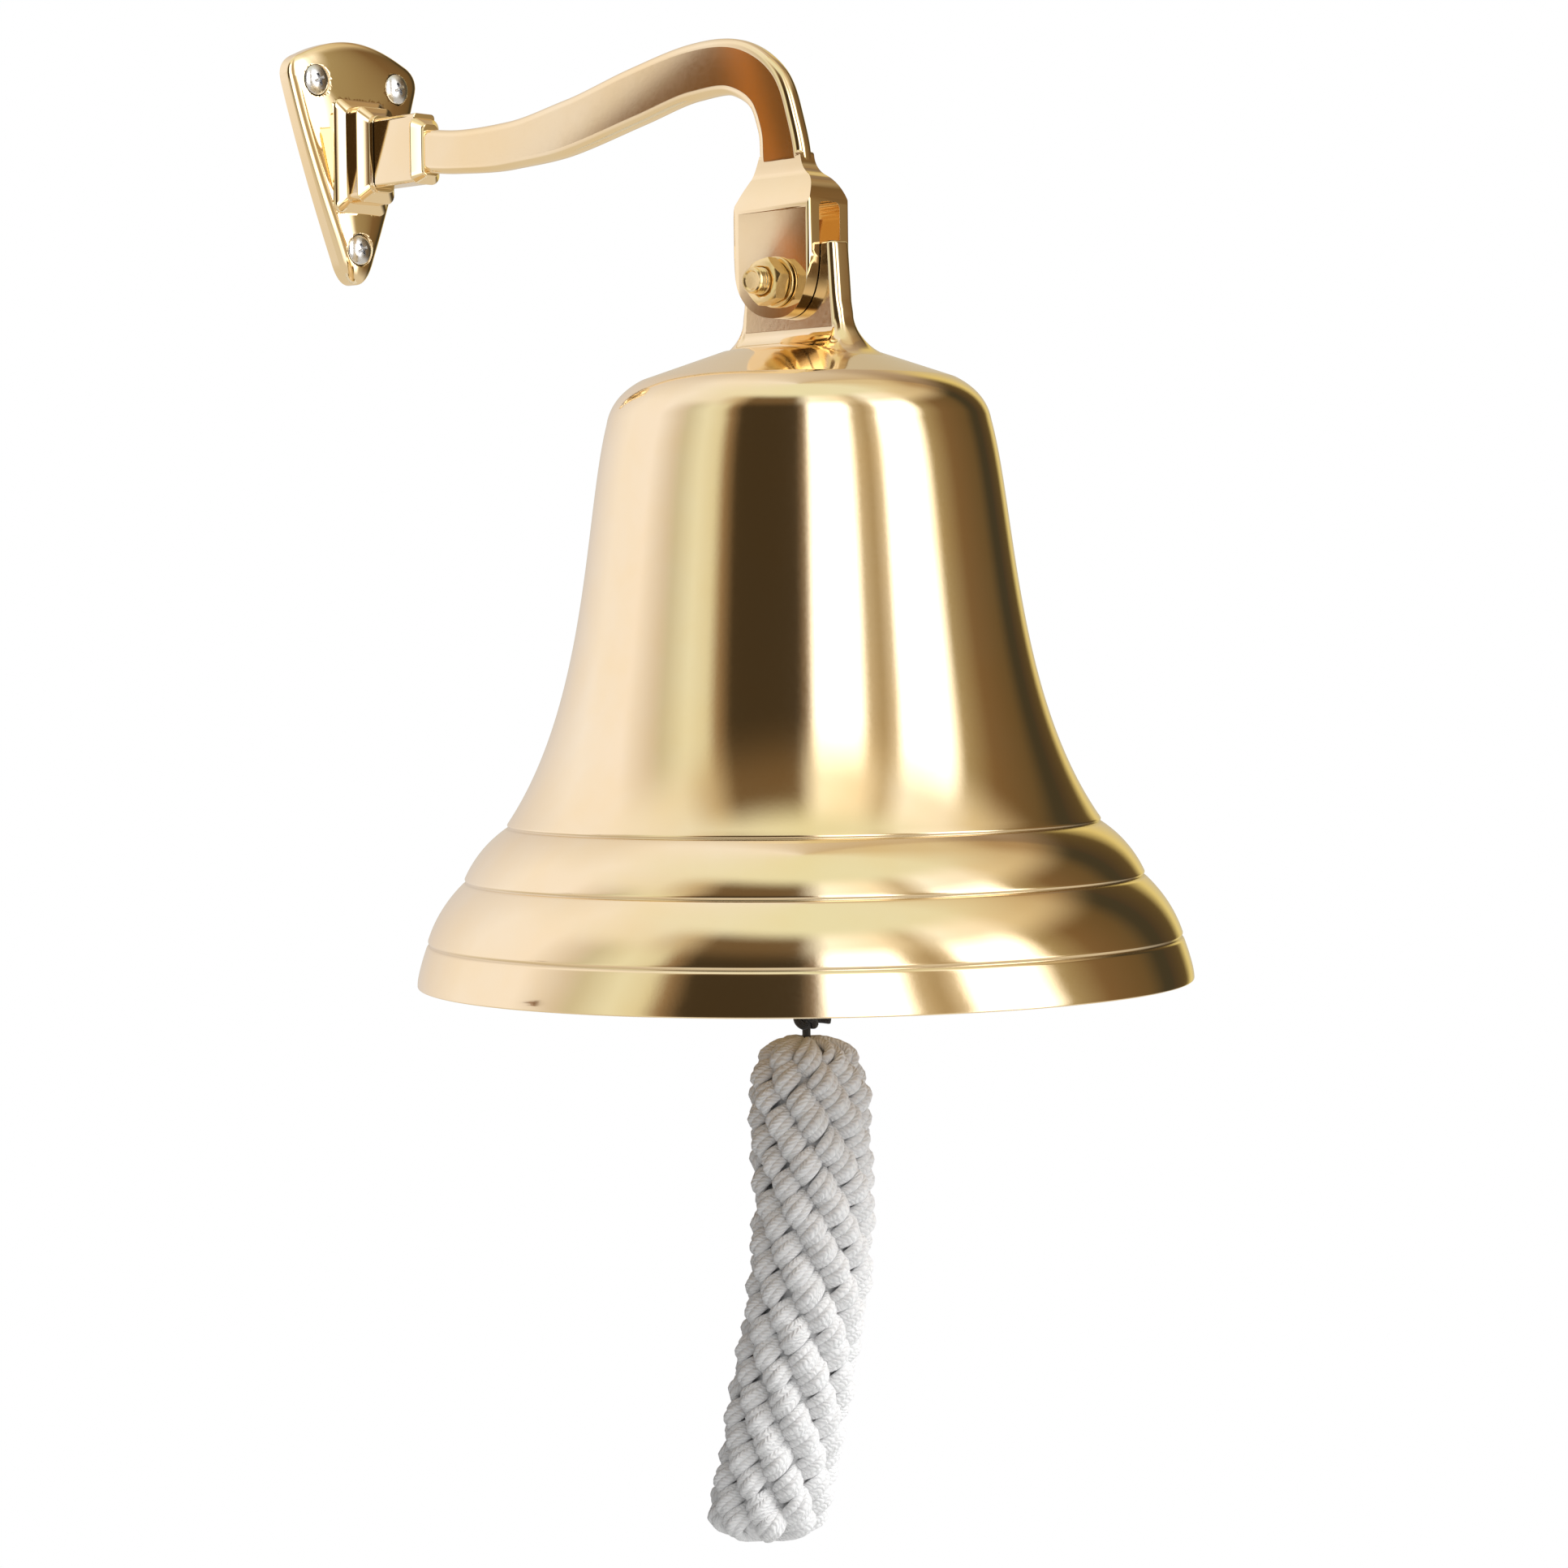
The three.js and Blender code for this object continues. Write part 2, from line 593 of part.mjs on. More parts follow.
// The bush screws into the crown boss and holds up the swivel's flanged head
add(fromMouth, 'swivel_bush', turned(tubeProfile(
  SWIVEL_STEM_RADIUS + GAP, BOSS_BORE_RADIUS - 2 * GAP, BOSS_BOTTOM, BOSS_BOTTOM + BUSH_HEIGHT)), brass);

function clevisOutline() {
  const { top, pin, halfLength } = CLEVIS;
  const shape = new THREE.Shape();
  shape.moveTo(-halfLength, pin);
  shape.absarc(0, pin, halfLength, Math.PI, 2 * Math.PI);
  shape.lineTo(halfLength, top - 2);
  shape.lineTo(halfLength - 1.5, top);
  shape.lineTo(1.5 - halfLength, top);
  shape.lineTo(-halfLength, top - 2);
  shape.closePath();
  return shape;
}

function clapperSwivel() {
  const flange = BOSS_BOTTOM + BUSH_HEIGHT + GAP;
  const stem = turned([
    [0, CLEVIS.top - 1], [SWIVEL_STEM_RADIUS, CLEVIS.top - 1], [SWIVEL_STEM_RADIUS, flange],
    [6.4, flange], [6.4, flange + 2.6], [0, flange + 2.6],
  ]);
  const clevis = slabAlongY(clevisOutline(), CLEVIS.width, 0.6);
  const half = CLEVIS.slot / 2;
  const slot = box(-9, 9, -half, half, CLEVIS.pin - 9, CLEVIS.slotTop);
  const pinHole = turnedAlongY(roundRod(CLEVIS_PIN_RADIUS + GAP, -9, 9)).translate(0, 0, CLEVIS.pin);
  return cut(join(stem, clevis), slot, pinHole);
}

function clevisPin() {
  const half = CLEVIS.width / 2 + GAP;
  const profile = [
    [0, -half - 1.2], [2.6, -half - 1.2], [3.3, -half], [CLEVIS_PIN_RADIUS, -half],
    [CLEVIS_PIN_RADIUS, half], [3.3, half], [2.6, half + 1.2], [0, half + 1.2],
  ];
  return turnedAlongY(profile);
}

function clapperRod() {
  const eyeRadius = 5.2;
  const eye = new THREE.Shape();
  eye.absarc(0, CLEVIS.pin, eyeRadius, -0.25 * Math.PI, 1.25 * Math.PI);
  eye.lineTo(-ROD_RADIUS, CLEVIS.pin - 9);
  eye.lineTo(-ROD_RADIUS, CLEVIS.pin - 13);
  eye.lineTo(ROD_RADIUS, CLEVIS.pin - 13);
  eye.lineTo(ROD_RADIUS, CLEVIS.pin - 9);
  eye.closePath();
  const shank = turned([
    [0, BALL_Z + 2], [ROD_RADIUS, BALL_Z + 2], [ROD_RADIUS, BALL_Z + BALL_RADIUS - 1],
    [ROD_RADIUS, CLEVIS.pin - 10.5], [0, CLEVIS.pin - 8.5],
  ]);
  const pinHole = turnedAlongY(roundRod(CLEVIS_PIN_RADIUS + GAP, -9, 9)).translate(0, 0, CLEVIS.pin);
  return cut(join(slabAlongY(eye, ROD_FLAT), shank), pinHole);
}

function clapperBall() {
  const bore = ROD_RADIUS + GAP;
  const start = Math.asin(bore / BALL_RADIUS);
  const profile = [];
  const steps = 12;
  for (let i = 0; i <= steps; i += 1) {
    const angle = start + ((Math.PI - 2 * start) * i) / steps;
    profile.push([BALL_RADIUS * Math.sin(angle), BALL_Z - BALL_RADIUS * Math.cos(angle)]);
  }
  profile.push(profile[0]);
  return turned(profile, 28);
}

function clapperTail() {
  const { z, outer, hole, thickness } = TAIL_EYE;
  const stem = turned([
    [0, z + 3], [2.4, z + 3], [ROD_RADIUS, z + 4.2], [ROD_RADIUS, BALL_Z + 2 - 2 * GAP],
    [0, BALL_Z + 2 - 2 * GAP],
  ]);
  const ring = new THREE.Shape().absarc(0, z, outer, 0, 2 * Math.PI);
  const eyeHole = turnedAlongY(roundRod(hole, -5, 5)).translate(0, 0, z);
  return cut(join(slabAlongY(ring, thickness, 0.5), stem), eyeHole);
}

add(fromMouth, 'clapper_swivel', clapperSwivel(), steel);
add(fromMouth, 'clapper_pin', clevisPin(), steel).position.z = CLEVIS.pin;
add(fromMouth, 'clapper_rod', clapperRod(), brass);
add(fromMouth, 'clapper_ball', clapperBall(), brass);
add(fromMouth, 'clapper_tail', clapperTail(), brass);

// ---------------------------------------------------------------- lashing

// A loop of cord that starts and ends against the knot and turns back at height `bend`;
// it lies in the XZ plane
function cordLoop(start, bend) {
  const side = LOOP_HALF_WIDTH;
  const towards = Math.sign(start - bend);
  const half = [[1.5, start], [side, bend + 3.4 * towards], [side - 0.2, bend + 0.6 * towards], [1.2, bend]];
  const back = half.map(([x, z]) => [-x, z]).reverse();
  const points = [...half, ...back].map(([x, z]) => new THREE.Vector3(x, 0, z));
  return cordAlong(new THREE.CatmullRomCurve3(points), CORD_RADIUS, 20);
}

// Through the hole of the tail's eye, which faces along Y
function upperLoop() {
  const bend = TAIL_EYE.z - 0.3;
  return cordLoop(KNOT_Z + KNOT_HALF_HEIGHT + GAP, bend).rotateZ(Math.PI / 2);
}

// Through the ring at the top of the handle's core, which faces along X
function lowerLoop() {
  const bend = HANDLE_EYE.z + HANDLE_EYE.ring - HANDLE_EYE.wire - CORD_RADIUS - GAP;
  return cordLoop(KNOT_Z - KNOT_HALF_HEIGHT - GAP, bend);
}

function lashingKnot() {
  const knot = new THREE.IcosahedronGeometry(1, 2);
  return knot.scale(KNOT_HALF_WIDTH, KNOT_HALF_WIDTH, KNOT_HALF_HEIGHT);
}

add(fromMouth, 'lashing_upper_loop', upperLoop(), blackCord);
add(fromMouth, 'lashing_knot', lashingKnot(), blackCord).position.z = KNOT_Z;
add(fromMouth, 'lashing_lower_loop', lowerLoop(), blackCord);

// ---------------------------------------------------------------- rope handle

// The handle's centre line: nearly plumb at the top, bowing out and back to a foot off plumb
function handleCentre(z) {
  const down = (HANDLE_TOP - z) / (HANDLE_TOP - HANDLE_BOTTOM);
  const drift = -HANDLE_DRIFT * down ** 2 + 5.4 * Math.sin(Math.PI * down) ** 2 * (1 - down);
  const x = drift * Math.cos(HANDLE_DRIFT_ANGLE + Math.PI);
  const y = drift * Math.sin(HANDLE_DRIFT_ANGLE + Math.PI);
  return new THREE.Vector3(x, y, z);
}

function ringAt(z, radius, sides) {
  const centre = handleCentre(z);
  return Array.from({ length: sides }, (_, i) => {
    const angle = (2 * Math.PI * i) / sides;
    return centre.clone().add(new THREE.Vector3(Math.cos(angle), Math.sin(angle), 0).multiplyScalar(radius));
  });
}

function handleBraid() {
  const topRound = 17;
  const footRound = 8;
  const steps = 18;
  const rings = [];
  for (let i = 0; i <= steps; i += 1) {
    const z = THREE.MathUtils.lerp(HANDLE_BOTTOM, HANDLE_TOP, 0.5 - 0.5 * Math.cos((Math.PI * i) / steps));
    const fromTop = Math.min((HANDLE_TOP - z) / topRound, 1);
    const fromFoot = Math.min((z - HANDLE_BOTTOM) / footRound, 1);
    const crown = Math.sqrt(1 - (1 - fromTop) ** 2);
    const foot = Math.sqrt(1 - (1 - fromFoot) ** 2);
    rings.push(ringAt(z, 7.2 + (HANDLE_RADIUS - 7.2) * Math.min(crown, foot), 20));
  }
  const bore = [];
  for (let i = 0; i <= 10; i += 1) {
    bore.push(ringAt(THREE.MathUtils.lerp(HANDLE_BOTTOM + 8, HANDLE_TOP + 2, i / 10), HANDLE_BORE, 16));
  }
  return cut(loft(rings), loft(bore));
}

function handleCore() {
  const { z, ring, wire } = HANDLE_EYE;
  const rings = [];
  for (let i = 0; i <= 10; i += 1) {
    const height = THREE.MathUtils.lerp(HANDLE_BOTTOM + 8 + GAP, z - ring, i / 10);
    rings.push(ringAt(height, HANDLE_BORE - 2 * GAP, 12));
  }
  const eye = new THREE.TorusGeometry(ring, wire, 8, 16).rotateY(Math.PI / 2).translate(0, 0, z);
  return join(loft(rings), eye);
}

add(fromMouth, 'handle_core', handleCore(), cotton);
add(fromMouth, 'handle_braid', handleBraid(), cotton);

export default bell;
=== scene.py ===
"""Wall-hung ship bell: the visual model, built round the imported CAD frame.

Everything is in the frame's own axes: +X away from the wall, +Z up, the fork bolt along Y.
Shapes are written in millimetres, from the fork bolt's centre or from the plane of the bell's
mouth, and are scaled to metres as each mesh is made.
"""
import json
import math
import random

import bmesh
import bpy
from mathutils import Matrix, Vector


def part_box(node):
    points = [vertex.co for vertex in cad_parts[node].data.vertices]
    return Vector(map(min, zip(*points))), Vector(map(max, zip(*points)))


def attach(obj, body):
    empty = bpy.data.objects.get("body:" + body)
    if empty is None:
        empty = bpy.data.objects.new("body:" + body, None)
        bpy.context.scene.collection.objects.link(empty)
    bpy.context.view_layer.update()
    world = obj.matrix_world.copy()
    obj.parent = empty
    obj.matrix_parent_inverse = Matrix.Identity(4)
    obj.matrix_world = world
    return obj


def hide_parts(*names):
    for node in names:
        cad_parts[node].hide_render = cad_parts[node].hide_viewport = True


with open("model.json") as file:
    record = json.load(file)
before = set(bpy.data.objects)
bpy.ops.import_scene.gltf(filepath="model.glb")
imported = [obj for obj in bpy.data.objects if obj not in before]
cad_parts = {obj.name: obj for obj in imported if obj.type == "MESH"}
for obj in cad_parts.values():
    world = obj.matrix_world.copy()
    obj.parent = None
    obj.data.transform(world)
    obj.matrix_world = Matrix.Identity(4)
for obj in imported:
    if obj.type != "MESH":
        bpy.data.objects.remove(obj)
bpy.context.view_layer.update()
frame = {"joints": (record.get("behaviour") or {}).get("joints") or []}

# ---- places in the frame

MM = 0.001
JOINTS = {joint["name"]: Vector(joint["pos_m"]) / MM for joint in frame["joints"]}
PIVOT = JOINTS["bell_swing"]
MOUTH = Vector((PIVOT.x, 0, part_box("bell")[0].z / MM))
MOUTH_RADIUS = (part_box("bell")[1].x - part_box("bell")[0].x) / MM / 2
BOLT_ABOVE_MOUTH = PIVOT.z - MOUTH.z


def node_size(node):
    low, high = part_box(node)
    return (high - low) / MM


def node_centre(node):
    low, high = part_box(node)
    return (high + low) / MM / 2


# ---- camera

CAMERA_AZIMUTH = math.radians(43)
CAMERA_DISTANCE = 1.0
CAMERA_ABOVE_MOUTH = 0.0919
CAMERA_TURN = math.radians(0.29)
CAMERA_PITCH = math.radians(-2.33)
CAMERA_ROLL = math.radians(-0.71)
CAMERA_LENS = 88.08


def make_camera():
    data = bpy.data.cameras.new("camera")
    data.sensor_width = 36
    data.lens = CAMERA_LENS
    camera = bpy.data.objects.new("camera", data)
    bpy.context.scene.collection.objects.link(camera)
    back = Vector((math.sin(CAMERA_AZIMUTH), -math.cos(CAMERA_AZIMUTH), 0))
    camera.location = MOUTH * MM + back * CAMERA_DISTANCE + Vector((0, 0, CAMERA_ABOVE_MOUTH))
    heading = Matrix.Rotation(CAMERA_AZIMUTH + CAMERA_TURN, 4, "Z")
    pitch = Matrix.Rotation(math.pi / 2 + CAMERA_PITCH, 4, "X")
    roll = Matrix.Rotation(CAMERA_ROLL, 4, "Z")
    camera.matrix_world = Matrix.Translation(camera.location) @ heading @ pitch @ roll
    bpy.context.scene.camera = camera


make_camera()

# ---- node helpers


class Nodes:
    """A node tree with short calls for the few nodes that the materials use."""

    def __init__(self, tree):
        self.tree = tree
        tree.nodes.clear()

    def new(self, kind, inputs=None, **settings):
        node = self.tree.nodes.new(kind)
        for name, value in settings.items():
            setattr(node, name, value)
        for name, value in (inputs or {}).items():
            self.feed(value, node.inputs[name])
        return node

    def feed(self, value, socket):
        if isinstance(value, bpy.types.NodeSocket):
            self.tree.links.new(value, socket)
        elif isinstance(value, bpy.types.Node):
            self.tree.links.new(value.outputs[0], socket)
        else:
            socket.default_value = value

    def math(self, operation, first, second=0.0):
        node = self.tree.nodes.new("ShaderNodeMath")
        node.operation = operation
        self.feed(first, node.inputs[0])
        self.feed(second, node.inputs[1])
        return node.outputs[0]

    def map_range(self, value, low, high, to_low=0.0, to_high=1.0, smooth=False):
        node = self.new("ShaderNodeMapRange", {
            "Value": value, "From Min": low, "From Max": high, "To Min": to_low, "To Max": to_high})
        node.interpolation_type = "SMOOTHSTEP" if smooth else "LINEAR"
        return node.outputs[0]

    def mix(self, factor, first, second, blend="MIX"):
        node = self.tree.nodes.new("ShaderNodeMix")
        node.data_type = "RGBA"
        node.blend_type = blend
        self.feed(factor, node.inputs[0])
        self.feed(first, node.inputs[6])
        self.feed(second, node.inputs[7])
        return node.outputs[2]

    def ramp(self, value, stops, ease="LINEAR"):
        node = self.tree.nodes.new("ShaderNodeValToRGB")
        node.color_ramp.interpolation = ease
        elements = node.color_ramp.elements
        while len(elements) < len(stops):
            elements.new(0.5)
        for element, (place, color) in zip(elements, stops):
            element.position = place
            element.color = (*color, 1)
        self.feed(value, node.inputs[0])
        return node.outputs[0]

    def noise(self, vector, scale, detail=3.0, roughness=0.55):
        node = self.new("ShaderNodeTexNoise", {
            "Vector": vector, "Scale": scale, "Detail": detail, "Roughness": roughness})
        return node.outputs[0]


# ---- studio

# What the polished brass sees round it: (degrees round from -Y towards +X, colour)
WINDOW = (2.6, 2.6, 2.6)
DARK_ROOM = (0.058, 0.040, 0.021)
STUDIO = [
    (-180, (0.07, 0.05, 0.03)),
    (-166, (0.12, 0.08, 0.03)),
    (-158, (0.80, 0.66, 0.26)),
    (-146, (0.60, 0.52, 0.36)),
    (-120, (0.74, 0.68, 0.64)),
    (-80, (1.00, 0.98, 1.02)),
    (-52, (1.02, 1.00, 1.06)),
    (-35, (0.74, 0.68, 0.62)),
    (-29, (0.66, 0.64, 0.52)),
    (-16, (0.88, 0.90, 0.76)),
    (-6, (0.80, 0.78, 0.60)),
    (0, (0.30, 0.20, 0.11)),
    (7, DARK_ROOM),
    (41, DARK_ROOM),
    (46, (0.26, 0.18, 0.11)),
    (51, WINDOW),
    (71, WINDOW),
    (77, (0.60, 0.50, 0.34)),
    (84, (0.42, 0.32, 0.18)),
    (90, (0.70, 0.60, 0.45)),
    (95, WINDOW),
    (117, WINDOW),
    (126, (0.42, 0.34, 0.19)),
    (142, (0.21, 0.13, 0.06)),
    (163, (0.15, 0.10, 0.045)),
    (173, (0.06, 0.05, 0.03)),
]
# The same room higher up
UPPER_ROOM = [
    (-180, (0.32, 0.23, 0.15)),
    (-140, (0.60, 0.50, 0.40)),
    (-100, (0.86, 0.82, 0.80)),
    (-60, (1.00, 0.98, 1.00)),
    (-20, (0.90, 0.88, 0.78)),
    (-4, (0.60, 0.50, 0.34)),
    (8, (0.17, 0.11, 0.055)),
    (40, (0.17, 0.11, 0.055)),
    (52, (1.25, 1.25, 1.15)),
    (72, (1.1, 1.0, 0.8)),
    (84, (0.62, 0.52, 0.36)),
    (97, (1.15, 1.15, 1.1)),
    (118, (1.05, 1.0, 0.9)),
    (132, (0.80, 0.70, 0.50)),
    (159, (0.65, 0.54, 0.36)),
    (173, (0.45, 0.32, 0.18)),
]
CEILING = [
    (-180, (0.62, 0.50, 0.34)),
    (-140, (0.72, 0.64, 0.54)),
    (-90, (0.98, 0.96, 0.96)),
    (-30, (0.92, 0.92, 0.82)),
    (40, (0.88, 0.90, 0.70)),
    (120, (0.88, 0.88, 0.70)),
    (160, (0.74, 0.64, 0.44)),
]
FLOOR_TONE = (0.74, 0.68, 0.58, 1)
# Light on cloth and cord: strong on the right, weak on the left
SOFT_LIGHT = [
    (-180, 0.40), (-110, 0.12), (-30, 0.20), (20, 0.50), (60, 1.05), (120, 1.25), (165, 0.8)]
SOFT_BELOW = (0.20, 0.20, 0.20, 1)
# A dark corner of the room with a warm strip in it. A line is (degrees round, at degrees up, slope).
CORNER_DARK = (0.16, 0.075, 0.022, 1)
CORNER_WARM = (0.62, 0.22, 0.045, 1)
CORNER_EDGE = (-46.6, 6.9, 1.24)
CORNER_LOW_EDGE = (-43.6, 5.2, 0.6)
STRIP_LINE = (-42.95, 5.0, -0.25)


def turn_to_place(degrees):
    return (degrees + 180) / 360


def past_line(nodes, degrees, level, line):
    """How many degrees round a direction lies past a slanting line."""
    azimuth, height, slope = line
    rise = nodes.math("MULTIPLY", nodes.math("SUBTRACT", level, height), slope)
    return nodes.math("SUBTRACT", nodes.math("SUBTRACT", degrees, azimuth), rise)


def dark_corner(nodes, room, degrees, level):
    """The room with the dark corner that the arm's and the fork's flat sides mirror."""
    corner = nodes.map_range(past_line(nodes, degrees, level, CORNER_EDGE), -0.05, 0.15, smooth=True)
    low_edge = nodes.map_range(past_line(nodes, degrees, level, CORNER_LOW_EDGE), -0.04, 0.06, smooth=True)
    limits = [
        nodes.math("MAXIMUM", low_edge, nodes.map_range(level, 6.3, 6.45, smooth=True)),
        nodes.map_range(level, 3.2, 3.5, smooth=True),
        nodes.map_range(level, 12, 10, smooth=True),
        nodes.map_range(degrees, -40.5, -41.5, smooth=True),
    ]
    for limit in limits:
        corner = nodes.math("MULTIPLY", corner, limit)
    strip = nodes.math("ABSOLUTE", past_line(nodes, degrees, level, STRIP_LINE))
    warm = nodes.map_range(strip, 0.22, 0.08, smooth=True)
    return nodes.mix(corner, room, nodes.mix(warm, CORNER_DARK, CORNER_WARM))


def make_world():
    """The room that lights and is mirrored in the brass; the camera itself sees plain white."""
    world = bpy.data.worlds.new("studio")
    bpy.context.scene.world = world
    world.use_nodes = True
    nodes = Nodes(world.node_tree)
    direction = nodes.new("ShaderNodeTexCoord").outputs["Generated"]
    x, y, z = nodes.new("ShaderNodeSeparateXYZ", {"Vector": direction}).outputs
    turn = nodes.math("ARCTAN2", x, nodes.math("MULTIPLY", y, -1.0))
    around = nodes.math("ADD", nodes.math("DIVIDE", turn, 2 * math.pi), 0.5)
    degrees = nodes.math("MULTIPLY", turn, 180 / math.pi)
    level = nodes.math("MULTIPLY", nodes.math("ARCSINE", z), 180 / math.pi)
    middle, upper, ceiling = [
        nodes.ramp(around, [(turn_to_place(azimuth), color) for azimuth, color in stops])
        for stops in (STUDIO, UPPER_ROOM, CEILING)]
    room = nodes.mix(nodes.map_range(level, 32, 48, smooth=True), middle, upper)
    room = nodes.mix(nodes.map_range(level, 50, 64, smooth=True), room, ceiling)
    room = nodes.mix(nodes.map_range(level, -8, -28, smooth=True), room, FLOOR_TONE)
    room = dark_corner(nodes, room, degrees, level)

    mirrored = nodes.new("ShaderNodeBackground", {"Color": room, "Strength": 1.0})
    soft = nodes.ramp(around, [(turn_to_place(azimuth), (tone,) * 3) for azimuth, tone in SOFT_LIGHT])
    soft = nodes.mix(nodes.map_range(level, -5, -50), soft, SOFT_BELOW)
    soft = nodes.new("ShaderNodeBackground", {"Color": soft, "Strength": 1.0})
    plain = nodes.new("ShaderNodeBackground", {"Color": (1, 1, 1, 1), "Strength": 1.0})
    path = nodes.new("ShaderNodeLightPath").outputs
    both = nodes.new("ShaderNodeMixShader", {0: path["Is Diffuse Ray"], 1: mirrored, 2: soft})
    both = nodes.new("ShaderNodeMixShader", {0: path["Is Camera Ray"], 1: both, 2: plain})
    nodes.new("ShaderNodeOutputWorld", {"Surface": both})


def softbox(name, azimuth, elevation, distance, size, watts):
    """An area light that faces the bell; polished metal doesn't show it."""
    data = bpy.data.lights.new(name, "AREA")
    data.shape = "SQUARE"
    data.size = size
    data.energy = watts
    light = bpy.data.objects.new(name, data)
    bpy.context.scene.collection.objects.link(light)
    turn, tilt = math.radians(azimuth), math.radians(elevation)
    back = Vector((math.sin(turn) * math.cos(tilt), -math.cos(turn) * math.cos(tilt), math.sin(tilt)))
    light.location = MOUTH * MM + back * distance
    light.rotation_euler = back.to_track_quat("Z", "Y").to_euler()
    light.visible_glossy = False


def make_floor():
    """A pale round floor well below the bell."""
    bm = bmesh.new()
    bmesh.ops.create_circle(bm, cap_ends=True, segments=96, radius=0.55)
    data = bpy.data.meshes.new("floor")
    bm.to_mesh(data)
    bm.free()
    floor = bpy.data.objects.new("floor", data)
    bpy.context.scene.collection.objects.link(floor)
    floor.location = (MOUTH.x * MM, 0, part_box("handle_braid")[0].z - 0.35)
    material = bpy.data.materials.new("pale_floor")
    material.use_nodes = True
    shader = material.node_tree.nodes["Principled BSDF"]
    shader.inputs["Base Color"].default_value = (0.86, 0.86, 0.85, 1)
    shader.inputs["Roughness"].default_value = 0.9
    floor.data.materials.append(material)


make_world()
softbox("key_light", 112, 34, 1.6, 0.6, 14)
softbox("fill_light", -10, 20, 1.8, 1.2, 1)
make_floor()
bpy.context.scene.view_settings.view_transform = "Standard"

# ---- materials


def new_material(name):
    material = bpy.data.materials.new(name)
    material.use_nodes = True
    nodes = Nodes(material.node_tree)
    where = nodes.new("ShaderNodeTexCoord").outputs["Object"]
    return material, nodes, where


def finish_material(nodes, shader):
    nodes.new("ShaderNodeOutputMaterial", {"Surface": shader})


def brass_material(name, color, roughness, streaks=0.0, grain=1.0):
    """Polished brass. The mesh attribute "grime" darkens the grooves; it is 0 where a mesh has none."""
    material, nodes, where = new_material(name)
    cloud = nodes.noise(where, 26.0, 4.0)
    fine = nodes.noise(where, 900.0, 2.0, 0.6)
    grime = nodes.new("ShaderNodeAttribute", attribute_name="grime").outputs["Fac"]
    warm = (color[0], color[1] * 0.94, color[2] * 0.82, 1)
    toned = nodes.mix(nodes.map_range(cloud, 0.35, 0.7), (*color, 1), warm)
    stained = nodes.mix(nodes.math("MULTIPLY", grime, 0.8), toned, (0.20, 0.11, 0.04, 1))
    rough = nodes.map_range(cloud, 0.3, 0.75, roughness * 0.85, roughness * 1.2)
    rough = nodes.math("ADD", rough, nodes.map_range(fine, 0.3, 0.8, 0.0, 0.05 * grain))
    rough = nodes.math("ADD", rough, nodes.math("MULTIPLY", grime, 0.25))
    height = nodes.math("MULTIPLY", fine, grain)
    if streaks:
        stretched = nodes.new("ShaderNodeMapping", {
            "Vector": where, "Scale": (1.0, 1.0, 60.0)}).outputs[0]
        turned = nodes.noise(stretched, 24.0, 3.0)
        height = nodes.math("ADD", height, nodes.math("MULTIPLY", turned, streaks))
    bump = nodes.new("ShaderNodeBump", {"Height": height, "Strength": 0.06, "Distance": 0.0002 * grain})
    shader = nodes.new("ShaderNodeBsdfPrincipled", {
        "Base Color": stained, "Metallic": 1.0, "Roughness": rough, "Normal": bump})
    finish_material(nodes, shader)
    return material


def steel_material(name, color, roughness):
    material, nodes, where = new_material(name)
    fine = nodes.noise(where, 700.0, 3.0)
    cloud = nodes.noise(where, 90.0, 2.0)
    tone = nodes.mix(cloud, (*color, 1), (color[0] * 0.8, color[1] * 0.8, color[2] * 0.82, 1))
    rough = nodes.map_range(fine, 0.3, 0.75, roughness * 0.7, roughness * 1.5)
    bump = nodes.new("ShaderNodeBump", {"Height": fine, "Strength": 0.12, "Distance": 0.0003})
    shader = nodes.new("ShaderNodeBsdfPrincipled", {
        "Base Color": tone, "Metallic": 1.0, "Roughness": rough, "Normal": bump})
    finish_material(nodes, shader)
    return material


def cotton_material():
    """Soft white cotton yarn: the attribute "along" runs down each yarn and "across" goes round it."""
    material, nodes, where = new_material("white_cotton")
    cloud = nodes.noise(where, 120.0, 3.0)
    fuzz = nodes.noise(where, 1600.0, 4.0, 0.7)
    along = nodes.new("ShaderNodeAttribute", attribute_name="along").outputs["Fac"]
    across = nodes.new("ShaderNodeAttribute", attribute_name="across").outputs["Fac"]
    lay = nodes.math("ADD", nodes.math("MULTIPLY", along, 9.0), nodes.math("MULTIPLY", across, 3.0))
    wobble = nodes.math("MULTIPLY", nodes.noise(where, 400.0, 2.0), 1.6)
    ply = nodes.math("SINE", nodes.math("MULTIPLY", nodes.math("ADD", lay, wobble), 2 * math.pi))
    tone = nodes.mix(nodes.map_range(cloud, 0.3, 0.7), (0.80, 0.80, 0.80, 1), (0.88, 0.88, 0.88, 1))
    # Painted shade: where the ply pattern dips, the yarn's colour is darkened towards grey, standing in for
    # shade between the plies
    tone = nodes.mix(nodes.map_range(ply, -1.0, -0.2, 0.35, 0.0), tone, (0.52, 0.52, 0.53, 1))
    height = nodes.math("ADD", nodes.math("MULTIPLY", ply, 0.5), fuzz)
    bump = nodes.new("ShaderNodeBump", {"Height": height, "Strength": 0.55, "Distance": 0.0004})
    shader = nodes.new("ShaderNodeBsdfPrincipled", {
        "Base Color": tone, "Roughness": 0.95, "Sheen Weight": 0.35, "Sheen Roughness": 0.5,
        "Specular IOR Level": 0.15, "Normal": bump})
    finish_material(nodes, shader)
    return material


